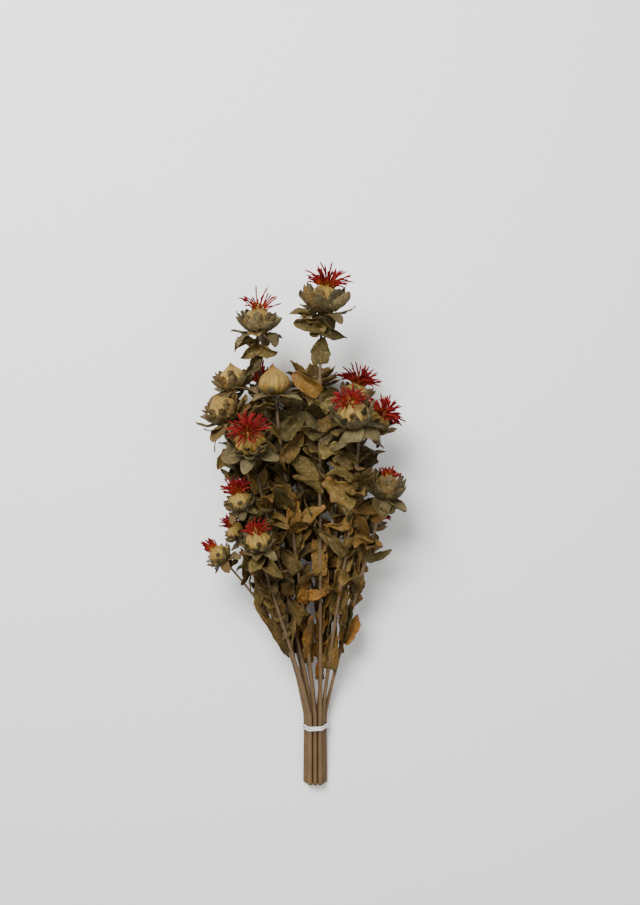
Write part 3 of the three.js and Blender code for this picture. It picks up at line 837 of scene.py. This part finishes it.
def collar_leaves(number):
    """The two spreading leaves close under a head."""
    route, head = routes[number], heads[number]
    leaves = []
    for i in range(2):
        shape = {
            **draws(number, i, COLLAR),
            "length": head.radius * spread(number, i + 400, 1.6, 2.1),
            "width": head.radius * spread(number, i + 440, 0.95, 1.25),
            **dried(number, i + 10, MOSTLY_GREEN_AT),
        }
        share = 1 - (8 + 7 * i) * MM / route.length
        angle = np.pi * i + NEARLY_ROUND * chance(number, 320)
        leaves.append(roomiest(route, share, angle, shape))
    return leaves


SMALL_PER_STEM, SMALL_PER_BRANCH = 20, 5


def small_leaves(number):
    """The many smaller, more crumpled leaves between the large ones."""
    route = routes[number]
    on_stem = number in STEM_SLOTS
    count = SMALL_PER_STEM if on_stem else SMALL_PER_BRANCH
    _, first, _ = STEM_LEAVES if on_stem else BRANCH_LEAVES
    leaves = []
    for i in range(count):
        step = ((i + chance(number, i + 2000)) / count) ** 0.7
        share = mix(first + 20 * MM, route.length - 18 * MM, step) / route.length
        sizes = {
            "open": (2040, 0.12, 0.2 + 1.1 * share), "bend": (2160, -0.6, 1.2 + share),
            "twist": (2200, -1.4, 1.4), "fold": (2240, 0.1, 0.7),
        }
        shape = {
            **draws(number, i, sizes),
            "length": spread(number, i + 2080, 26, 44) * mix(0.75, 1.0, share) * MM,
            "width": spread(number, i + 2120, 12, 22) * mix(0.55, 1.05, share) * MM,
            **dried(number, i + 20, route.at(share)[1] - band_middle[1]),
        }
        angle = GOLDEN_ANGLE * i + NEARLY_ROUND * chance(number, 2300)
        leaves.append(roomiest(route, share, angle, shape))
    return leaves


BARE_FROM = {1: 0.8, 2: 0.82}  # the two tallest stems carry no leaves above the other heads
FRONT_STEMS = (1, 6, 8, 10)  # the stems that show from above between the leaves
BESIDE_STEM = 4.5 * MM
# Leaves rooted lower than this over the floor get a darker tone, as painted shade.
PAINTED_SHADE_BELOW = 70 * MM  # over the floor
front_paths = np.vstack([routes[n].at(np.linspace(0.1, 0.8, 70)) for n in FRONT_STEMS])


def covers(leaf, parts, points, reach):
    """Whether one of the given parts of a leaf's length is over a point, within its reach."""
    for u in parts:
        place = leaf["root"] + leaf["out"] * leaf["length"] * u
        beside = np.linalg.norm((points - place)[:, :2], axis=1) < reach
        if np.any(beside & (points[:, 2] < place[2])):
            return True
    return False


def hides_head(leaf):
    """Whether the leaf's middle or tip is over a head, which would hide it from above."""
    return covers(leaf, (0.5, 0.95), bud_middles, bud_radii)


def hides_stem(leaf):
    """Whether the leaf's blade crosses over one of the front stems."""
    return covers(leaf, (0.35, 0.65), front_paths, BESIDE_STEM)


def kept(number, leaves):
    """The leaves of a stem without those over a head or a front stem, or on a bare top, with painted
    shade on low ones.
    """
    level = routes[number].at(BARE_FROM.get(number, 1.0))[1]
    for leaf in leaves:
        leaf["tone"] *= np.clip(leaf["root"][2] / PAINTED_SHADE_BELOW, 0.25, 1)  # painted shade: leaves low inside the bunch get a darker tone
    hiding = [hides_head(leaf) or hides_stem(leaf) for leaf in leaves]
    return [leaf for leaf, hides in zip(leaves, hiding) if leaf["root"][1] <= level and not hides]


# The large leaves that lie on top, and some broad ones that close the gaps behind them. For
# each: its stem and share of the way up it, its heading in degrees from straight along the
# bunch round to the right, its lift off the surface in degrees, its length and width in mm, its
# bend, twist and fold, and its tone and warmth.
TOP_LEAVES = [
    (1, 0.978, -88, 40, 30, 17, 1.1, 0.5, 0.9, 0.5, 0.0),
    (1, 0.974, 122, 35, 29, 15, 1.0, -0.7, 0.9, 0.2, 0.0),
    (1, 0.980, -140, 45, 19, 13, 1.0, 0.4, 1.0, 0.9, 0.0),
    (2, 0.974, -118, 40, 22, 12, 1.1, 0.6, 0.9, 0.8, 0.1),
    (2, 0.972, 116, 40, 23, 13, 1.0, -0.6, 0.9, 0.6, 0.1),
    (2, 0.955, -158, 30, 26, 12, 0.3, 0.8, 0.8, 0.2, 0.0),
    (1, 0.90, -3, 10, 27, 19, -0.2, 0.3, 0.2, 0.55, 0.0),
    (1, 0.84, -52, 5, 34, 18, 0.6, 0.4, 0.5, 0.8, 0.5),
    (1, 0.80, -28, 15, 22, 13, 0.5, 0.0, 0.5, 1.0, 0.0),
    (1, 0.80, 38, 15, 24, 14, 0.5, 0.2, 0.5, 0.9, 0.0),
    (1, 0.77, 55, 0, 32, 15, 0.5, -0.6, 0.4, 0.6, 0.2),
    (1, 0.72, 82, 10, 27, 17, 0.4, 0.8, 0.3, 1.0, 0.0),
    (1, 0.66, -42, 8, 57, 20, 0.3, 0.2, 0.35, 0.55, 0.1),
    (7, 0.95, 62, 25, 36, 22, 0.9, 0.3, 0.3, 0.5, 0.1),
    (7, 0.93, -64, 25, 34, 20, 0.9, -0.3, 0.3, 0.4, 0.1),
    (8, 0.80, -52, 5, 42, 24, 0.8, 0.5, 0.4, 0.9, 0.35),
    (8, 0.80, 20, 0, 40, 18, 0.4, -0.5, 0.4, 0.6, 0.2),
    (8, 0.77, -34, 8, 32, 16, 0.3, 0.4, 0.4, 0.35, 0.0),
    (8, 0.79, 102, 5, 29, 18, 0.6, 0.4, 0.4, 0.45, 0.35),
    (8, 0.74, 46, 5, 35, 17, 0.5, 0.3, 0.5, 0.35, 0.0),
    (8, 0.73, -86, 8, 27, 11, 0.3, 1.0, 0.6, 1.0, 0.6),
    (8, 0.65, -34, 8, 43, 14, 0.3, 0.3, 0.4, 0.35, 0.1),
    (4, 0.72, -10, 5, 41, 16, 0.3, 0.4, 0.4, 0.5, 0.25),
    (4, 0.67, 6, 8, 39, 14, 0.3, -0.3, 0.5, 0.75, 0.6),
    (4, 0.67, 52, 8, 41, 16, 0.2, 0.9, 0.6, 0.9, 0.5),
    (4, 0.56, -28, 5, 33, 17, 0.4, 0.2, 0.4, 0.4, 0.1),
    (4, 0.50, 94, 15, 31, 13, 0.7, 0.8, 0.5, 0.75, 1.0),
    (4, 0.48, 12, 12, 27, 13, 0.9, -0.8, 0.5, 0.7, 1.0),
    (4, 0.43, -40, 8, 35, 17, 0.4, 0.3, 0.4, 0.5, 0.2),
    (6, 0.60, -24, 5, 32, 11, 1.9, 0.4, 0.5, 0.6, 1.0),
    (6, 0.56, 4, 0, 34, 14, 0.3, -0.6, 0.4, 0.5, 0.7),
    (1, 0.46, 0, 5, 39, 15, 0.2, 0.3, 0.4, 0.6, 0.5),
    (8, 0.33, 14, 10, 46, 20, 0.3, 0.3, 0.3, 0.55, 0.3),
    (10, 0.50, 34, 8, 33, 15, 0.5, -0.4, 0.4, 0.7, 0.9),
    (9, 0.35, 32, 20, 24, 13, 0.4, 0.3, 0.3, 1.0, 0.8),
    (7, 0.27, 6, 30, 21, 10, 0.3, 0.5, 0.5, 0.6, 1.0),
    (10, 0.80, 86, -5, 28, 10, 0.0, 0.2, 0.4, 0.6, 0.0),
    (10, 0.68, 8, 0, 39, 15, 0.2, 0.5, 0.5, 0.3, 0.0),
    (11, 0.54, -10, 0, 30, 9, 0.1, 0.4, 0.3, 0.5, 0.5),
    (12, 0.62, -30, -20, 40, 14, 0.2, 0.4, 0.4, 0.3, 0.0),
    (11, 0.66, -34, 0, 34, 13, 0.3, 0.3, 0.4, 0.25, 0.0),
    (7, 0.90, 74, 5, 44, 26, 0.2, 0.3, 0.3, 0.3, 0.0),
    (7, 0.88, -72, 5, 42, 26, 0.2, -0.3, 0.3, 0.3, 0.0),
    (7, 0.83, 60, 0, 46, 26, 0.2, 0.3, 0.3, 0.2, 0.1),
    (7, 0.82, -84, 5, 44, 28, 0.2, 0.2, 0.3, 0.4, 0.1),
    (7, 0.77, -50, 0, 46, 26, 0.2, -0.3, 0.3, 0.2, 0.2),
    (7, 0.76, 84, 5, 40, 26, 0.2, -0.3, 0.3, 0.3, 0.2),
    (7, 0.70, 50, 0, 46, 24, 0.2, 0.3, 0.3, 0.3, 0.2),
    (7, 0.68, -60, 5, 44, 24, 0.2, 0.3, 0.3, 0.3, 0.2),
    (7, 0.60, 40, 0, 44, 24, 0.2, 0.3, 0.3, 0.3, 0.3),
    (7, 0.58, -44, 0, 44, 24, 0.2, 0.3, 0.3, 0.3, 0.3),
    (9, 0.90, -70, 10, 36, 22, 0.2, 0.3, 0.3, 0.4, 0.0),
    (9, 0.84, 76, 5, 38, 24, 0.2, 0.3, 0.3, 0.3, 0.0),
    (3, 0.84, 74, 5, 42, 24, 0.2, 0.3, 0.3, 0.3, 0.1),
    (3, 0.78, 60, 5, 42, 24, 0.2, 0.3, 0.3, 0.3, 0.1),
    (2, 0.80, 68, -5, 42, 22, 0.2, 0.4, 0.4, 0.3, 0.0),
    (7, 0.97, 84, 10, 30, 22, 0.2, 0.3, 0.3, 0.4, 0.0),
    (7, 0.97, -80, 10, 34, 24, 0.2, 0.3, 0.3, 0.4, 0.0),
    (3, 0.92, 66, 0, 40, 24, 0.2, 0.4, 0.4, 0.3, 0.0),
    (13, 0.86, 60, 5, 36, 24, 0.2, 0.4, 0.4, 0.3, 0.0),
    (13, 0.70, 66, 5, 38, 24, 0.2, 0.4, 0.4, 0.3, 0.1),
    (2, 0.76, 40, -5, 40, 22, 0.2, -0.4, 0.4, 0.4, 0.1),
    (4, 0.90, 56, -15, 34, 20, 0.4, 0.4, 0.5, 0.25, 0.0),
    (4, 0.84, 30, -8, 38, 18, 0.4, -0.5, 0.5, 0.4, 0.3),
    (8, 0.90, -66, -10, 36, 19, 0.4, 0.5, 0.5, 0.3, 0.1),
    (8, 0.86, -40, -10, 36, 18, 0.5, -0.5, 0.5, 0.5, 0.1),
    (1, 0.74, 34, -12, 34, 20, 0.4, 0.5, 0.5, 0.3, 0.0),
    (1, 0.75, -36, -12, 36, 20, 0.4, -0.5, 0.5, 0.25, 0.0),
]
TOP_LEAF_RAISED = 2 * MM  # over the middle of its stem
LEAF_THICKNESS, BRACT_THICKNESS = 0.35 * MM, 0.4 * MM


def top_leaves(number):
    """The large leaves on top that belong to one stem."""
    leaves = []
    for i, row in enumerate(TOP_LEAVES):
        stem, share, heading, lift, length, width, bend, twist, fold, tone, warm = row
        if stem not in carried_by(number):
            continue
        heading, lift = np.radians(heading), np.radians(lift)
        flat = np.array([np.sin(heading), np.cos(heading), 0.0])
        leaves.append({
            **dried(number, i + 40, MOSTLY_GREEN_AT),
            "root": routes[stem].at(share) + TOP_LEAF_RAISED * UP,
            "out": turned(lift, flat, UP),
            "face": turned(lift, UP, -flat),
            "length": length * MM, "width": width * MM,
            "bend": bend, "twist": twist, "fold": fold, "tone": tone, "warm": warm,
            "crumple": spread(number, i + 90, 0.7, 1.5) * MM,
        })
    return leaves


leaf_total = 0
for number in STEM_SLOTS:
    carried = carried_by(number)
    leaves = [leaf for n in carried for leaf in kept(n, stem_leaves(n) + small_leaves(n))]
    leaves += [leaf for n in carried for leaf in collar_leaves(n) if not hides_head(leaf)]
    leaves += top_leaves(number)
    leaf_total += len(leaves)
    add_blades(f"leaves_{number:02d}", leaves, LEAF_GRID, LEAF_LOOK, LEAF_THICKNESS)
print("leaves made:", leaf_total)

# %% [markdown]
# ## Bracts
# The bracts sit in whorls round each bud, and the heads dried in different ways. Some keep rings
# of small cups, some are wrapped in broad bracts, some have only little rolled knobs, one has a
# ruff of pale ones under a bare bud, and one is a rosette of long fingers. Each habit is a list
# of whorls, from the lowest up, and every bract is a blade set round the head's axis.

# %% Make the bracts
BRACT_GRID = (14, 7)
# A whorl: how many bracts, their height and distance from the axis, and the ranges of their
# opening, length, width, bend and roll. Lengths are in bud radii and angles in radians.
LOW_COLLAR = (6, -0.86, 0.35, (1.4, 2.3), (1.4, 2.1), (1.0, 1.4), (-0.7, 0.9), (-0.7, 0.9))
CUPS = [
    LOW_COLLAR,
    (7, -0.65, 0.70, (1.0, 1.3), (1.1, 1.4), (0.8, 1.0), (-1.5, -0.9), (1.0, 1.6)),
    (8, -0.25, 1.00, (0.7, 1.0), (0.75, 1.0), (0.62, 0.8), (-1.1, -0.6), (1.1, 1.7)),
    (6, 0.10, 1.00, (0.5, 0.8), (0.55, 0.75), (0.45, 0.58), (-0.8, -0.3), (0.9, 1.4)),
]
STRAGGLES = (5, -0.80, 0.50, (1.3, 2.0), (1.5, 2.0), (0.5, 0.7), (-1.8, -0.8), (0.3, 1.2))
HABITS = {
    "cups": CUPS,
    "straggly": [STRAGGLES, *CUPS],
    "wrapped": [
        LOW_COLLAR,
        (7, -0.75, 0.62, (1.0, 1.3), (1.5, 1.9), (1.0, 1.25), (-1.5, -1.0), (0.7, 1.2)),
        (7, -0.35, 0.97, (0.35, 0.55), (1.0, 1.4), (0.8, 1.0), (-0.7, -0.3), (0.8, 1.3)),
    ],
    "closed": [
        LOW_COLLAR,
        (6, -0.75, 0.62, (0.9, 1.1), (1.4, 1.7), (1.0, 1.2), (-1.3, -0.9), (0.7, 1.1)),
        (7, -0.40, 0.97, (0.25, 0.4), (1.2, 1.5), (0.75, 0.9), (-0.6, -0.3), (0.7, 1.1)),
        (6, 0.10, 0.97, (-0.1, 0.1), (0.9, 1.1), (0.5, 0.7), (-0.5, -0.2), (0.6, 1.0)),
    ],
    "buttons": [
        (6, -0.86, 0.40, (1.3, 2.2), (1.0, 1.5), (0.8, 1.1), (-0.7, 0.9), (-0.7, 0.9)),
        (8, -0.70, 0.75, (1.2, 1.5), (0.8, 1.0), (0.7, 0.85), (-1.9, -1.3), (1.2, 1.8)),
        (9, -0.40, 0.98, (1.1, 1.4), (0.6, 0.8), (0.5, 0.65), (-1.8, -1.2), (1.2, 1.8)),
        (8, -0.05, 1.00, (0.8, 1.1), (0.45, 0.6), (0.42, 0.54), (-1.3, -0.8), (1.1, 1.7)),
    ],
    "ruff": [
        (9, -0.90, 0.35, (1.3, 1.9), (1.2, 1.7), (0.6, 0.8), (-0.9, 0.9), (-0.8, 0.8)),
        (7, -0.60, 0.85, (0.9, 1.1), (0.5, 0.8), (0.5, 0.6), (-1.1, -0.6), (0.9, 1.4)),
    ],
    "rosette": [
        (11, -0.85, 0.35, (1.2, 1.6), (2.2, 2.9), (0.9, 1.2), (-0.8, 0.2), (0.3, 0.9)),
        (10, -0.70, 0.60, (0.7, 1.1), (1.9, 2.4), (0.8, 1.05), (-0.6, 0.2), (0.3, 0.9)),
        (8, -0.30, 0.98, (0.4, 0.7), (1.0, 1.5), (0.5, 0.7), (-0.5, 0.2), (0.5, 1.1)),
    ],
}
# The heads that aren't listed here have cups.
HABIT_OF = {
    1: "wrapped", 4: "ruff", 5: "straggly", 7: "rosette", 10: "closed", 11: "buttons",
    12: "buttons", 15: "wrapped", 16: "buttons", 17: "buttons",
}
PALE = {4: 0.4, 7: 0.55}  # heads whose bracts dried pale: the least tone of each
GOLDEN = {3: 0.4, 5: 0.5, 7: 0.8, 9: 0.3, 14: 0.4}  # and golden: the least warmth of each
BRACT_DRYING = {
    "twist": (50, -0.4, 0.4), "fold": (60, 0.0, 0.3), "sway": (70, -0.35, 0.35),
    "ripple": (90, 0.02, 0.16), "waves": (100, 1.0, 2.5), "ragged": (115, 0.0, 0.05),
    "point": (130, 0.3, 0.55),
}


def bract_shape(head, i, level, opening, length, width, bend, roll):
    """The sizes of one bract, each drawn from its range."""
    n = head.number + 100 * (level + 1)
    return {
        **draws(n, i, BRACT_DRYING),
        "open": spread(n, i + 10, *opening),
        "length": head.radius * spread(n, i + 20, *length),
        "width": head.radius * spread(n, i + 30, *width),
        "bend": spread(n, i + 40, *bend),
        "roll": spread(n, i + 80, *roll),
        "crumple": spread(n, i + 110, 0.15, 0.4) * MM,
        "tooth": 0.0,
        "teeth": 6,
        "neck": 0.6,
        "tone": spread(n, i + 140, PALE.get(head.number, 0.0), 1.0),
        "warm": mix(GOLDEN.get(head.number, 0.0), 0.8, float(chance(n, i + 150)) ** 3),
        "seed": 31 * n + i,
    }


def whorl(head, level, count, height, wide, *ranges):
    """Bracts set almost evenly round a head's axis."""
    first = 0.3 + 0.7 * level
    blades = []
    for i in range(count):
        stray = 0.35 * (chance(head.number, i + first) - 0.5)
        spoke = turned(2 * np.pi * (i + stray) / count + first, head.side, head.up)
        root = head.middle + height * head.radius * head.axis + wide * head.radius * spoke
        blades.append(opened(root, spoke, head.axis, bract_shape(head, i, level, *ranges)))
    return blades


for number, head in heads.items():
    habit = HABITS[HABIT_OF.get(number, "cups")]
    bracts = [bract for level, row in enumerate(habit) for bract in whorl(head, level, *row)]
    name, node = f"whorl_{number:02d}", f"bracts_{number:02d}"
    add_blades(name, bracts, BRACT_GRID, BRACT_LOOK, BRACT_THICKNESS, [node])
print("whorls made:", len(heads))

# %% [markdown]
# ## Florets
# A safflower opens into a tuft of threads. Each thread is a thin tube that leaves the bud's tip
# and bows outwards, and the threads fill a cone evenly by the golden angle.

# %% Make the florets
# For each open head: how many threads, their length in mm, and how far the cone opens.
TUFTS = {
    1: (74, 21, 1.75), 2: (28, 19, 1.5), 6: (80, 17, 1.75), 8: (56, 14, 1.8), 9: (76, 20, 1.8),
    10: (26, 8, 1.2), 11: (54, 15, 1.3), 12: (46, 11, 1.45), 13: (70, 19, 1.6), 14: (85, 19, 1.9),
    15: (44, 14, 1.5), 16: (32, 11, 0.9), 17: (28, 11, 0.25),
}
THREAD_ROWS, THREAD_COLUMNS = 9, 5
THREAD_RADIUS, THREAD_TIP = 0.78 * MM, 0.3 * MM
THREAD_GAP = 0.6 * MM


def thread_grid(n, i, count, length, opening):
    """A tapered tube whose direction turns from its first angle off the axis to a wider one."""
    head = heads[n]
    share = np.linspace(0, 1, THREAD_ROWS)
    rim = (i + 0.5) / count
    around = GOLDEN_ANGLE * i + 0.9 * chance(n, i)
    tilt = opening * np.sqrt(rim) * (0.5 + 0.5 * share**0.6)
    tilt = tilt + mix(-0.35, 0.6, chance(n, i + 200)) * share
    swing = around + mix(-0.5, 0.5, chance(n, i + 400)) * share
    spoke = turned(swing, head.side, head.up)
    heading = turned(tilt, head.axis, spoke)
    reach = length * MM * mix(0.5, 1.05, chance(n, i + 600))
    foot = (1.0 - 0.3 * rim) * head.axis + 0.55 * np.sqrt(rim) * spoke[0]
    start = head.middle + head.radius * foot
    steps = np.vstack([np.zeros(3), np.cumsum(heading[:-1], axis=0)])
    path = clear_of_buds(start + steps * reach / (THREAD_ROWS - 1), THREAD_GAP)
    flank = unit(np.cross(heading, UP + 0.01))
    back = np.cross(flank, heading)
    lobe = 0.35 * np.exp(-(((share - 0.8) / 0.14) ** 2))  # widest near the tip, where it splits
    radius = THREAD_RADIUS * (1.0 - 0.3 * share + lobe)
    radius[-1] = THREAD_TIP
    angles = np.linspace(0, 2 * np.pi, THREAD_COLUMNS, endpoint=False)
    ring = turned(angles, back[:, None, :], flank[:, None, :])
    return path[:, None, :] + radius[:, None, None] * ring


thread_total = 0
for number, (count, length, opening) in TUFTS.items():
    grids = [thread_grid(number, i, count, length, opening) for i in range(count)]
    along = np.broadcast_to(np.linspace(0, 1, THREAD_ROWS)[:, None], (THREAD_ROWS, THREAD_COLUMNS))
    stored = {
        "along": [along] * count,
        "tone": [np.full(along.shape, chance(number, i + 800)) for i in range(count)],
    }
    node = f"florets_{number:02d}"
    add_piece(f"tuft_{number:02d}", grids, stored, FLORET_LOOK, [node])
    thread_total += count
print("threads made:", thread_total)

# %% [markdown]
# ## The elastic band
# The band is wound three times round the bundle. Each turn follows the outline of the outer
# stems: at every angle, the outermost corner stem plus a fixed distance. The turns are a little
# tilted, so they cross.

# %% Make the band
BAND_TURNS = [(-1.5, 0.05), (0.1, -0.06), (1.5, 0.03)]  # offset along in mm, and tilt
BAND_RADIUS = (2.3 + 0.4 + 0.65) * MM  # a stem's radius, the slack and half the band
BAND_HALF_THICK, BAND_HALF_WIDE = 0.55 * MM, 0.85 * MM
BAND_ROWS, BAND_COLUMNS = 120, 10
CORNER_STEMS = np.array([slot_offset(*slot) for slot in ((0, 0), (0, 4), (2, 0), (2, 2))])


def band_turn(offset, tilt):
    """A ring of oval section: the outermost corner stem at each angle, plus the band's radius."""
    angle = np.linspace(0, 2 * np.pi, BAND_ROWS, endpoint=False)
    facing = np.stack([np.cos(angle), np.sin(angle)], axis=1)
    outermost = CORNER_STEMS[np.argmax(facing @ CORNER_STEMS.T, axis=1)]
    middle = outermost + BAND_RADIUS * facing
    around = np.linspace(0, 2 * np.pi, BAND_COLUMNS, endpoint=False)
    thick, wide = BAND_HALF_THICK * np.cos(around), BAND_HALF_WIDE * np.sin(around)
    section = middle[:, None, :] + thick[None, :, None] * facing[:, None, :]
    distance = offset * MM + tilt * section[..., 0] + wide[None, :]
    across, above = section[..., 0:1] * ACROSS, section[..., 1:2] * ABOVE
    return band_middle + across + above + distance[..., None] * ALONG


turns = [band_turn(offset, tilt) for offset, tilt in BAND_TURNS]
add_piece("elastic_band_turns", turns, {}, BAND_LOOK, ["elastic_band"], looped=True)
print("band turns:", len(turns))

# %% [markdown]
# ## Floor, light and camera
# The bunch lies on a plain pale floor under a large soft light, and the camera looks straight
# down on it from a little over a metre, with the heads at the top.

# %% Stage
FLOOR_HALF = 8.0


def add_floor():
    """A plain square that the bunch lies on."""
    mesh = bpy.data.meshes.new("floor")
    corner_signs = ((-1, -1), (1, -1), (1, 1), (-1, 1))
    mesh.from_pydata([(x * FLOOR_HALF, y * FLOOR_HALF, 0) for x, y in corner_signs], [], [(0, 1, 2, 3)])
    floor = bpy.data.objects.new("floor", mesh)
    bpy.context.scene.collection.objects.link(floor)
    look = Look("pale_floor", 0.9)
    look.shader.inputs["Base Color"].default_value = (0.93, 0.93, 0.92, 1.0)
    mesh.materials.append(look.material)


def add_light(name, place, size, power):
    """A square soft light that faces the bunch."""
    lamp = bpy.data.lights.new(name, "AREA")
    lamp.size, lamp.energy = size, power
    light = bpy.data.objects.new(name, lamp)
    light.location = place
    back = unit(np.array(place))
    right = unit(np.cross([0.0, 1.0, 0.01], back))
    rotation = np.stack([right, np.cross(back, right), back], axis=1)
    light.rotation_euler = Matrix(rotation.tolist()).to_euler()
    bpy.context.scene.collection.objects.link(light)


add_floor()
add_light("soft_key", place=(-0.5, 0.9, 1.5), size=0.9, power=62)
add_light("soft_fill", place=(0.9, -0.4, 1.6), size=1.4, power=12)
world = bpy.data.worlds.new("pale_room")
world.use_nodes = True
background = world.node_tree.nodes["Background"]
background.inputs["Color"].default_value = (1.0, 1.0, 1.0, 1.0)
background.inputs["Strength"].default_value = 0.35
bpy.context.scene.world = world

CAMERA_HEIGHT = 1.3
CAMERA_FROM_BAND = np.array([5 * MM, 286 * MM])  # to the right and along
FIELD = 0.905  # the length that the view takes in at the bunch's mid height
MID_HEIGHT = 0.07
camera = bpy.data.cameras.new("camera")
camera.lens = camera.sensor_width * (CAMERA_HEIGHT - MID_HEIGHT) / FIELD
camera_object = bpy.data.objects.new("camera", camera)
camera_object.location = (*(band_middle[:2] + CAMERA_FROM_BAND), CAMERA_HEIGHT)
bpy.context.scene.collection.objects.link(camera_object)
bpy.context.scene.camera = camera_object
print("camera lens in mm:", round(camera.lens, 1))

# %% Sizes, and the end
def triangles(piece):
    """How many triangles a piece has once its modifiers are on."""
    shown = piece.evaluated_get(bpy.context.evaluated_depsgraph_get()).data
    return sum(len(face.vertices) - 2 for face in shown.polygons)


counts = {p.name: triangles(p) for p in bpy.data.objects if p.type == "MESH" and p.material_slots}
print("triangles:", sum(counts.values()), "the most in one piece:", max(counts.values()))
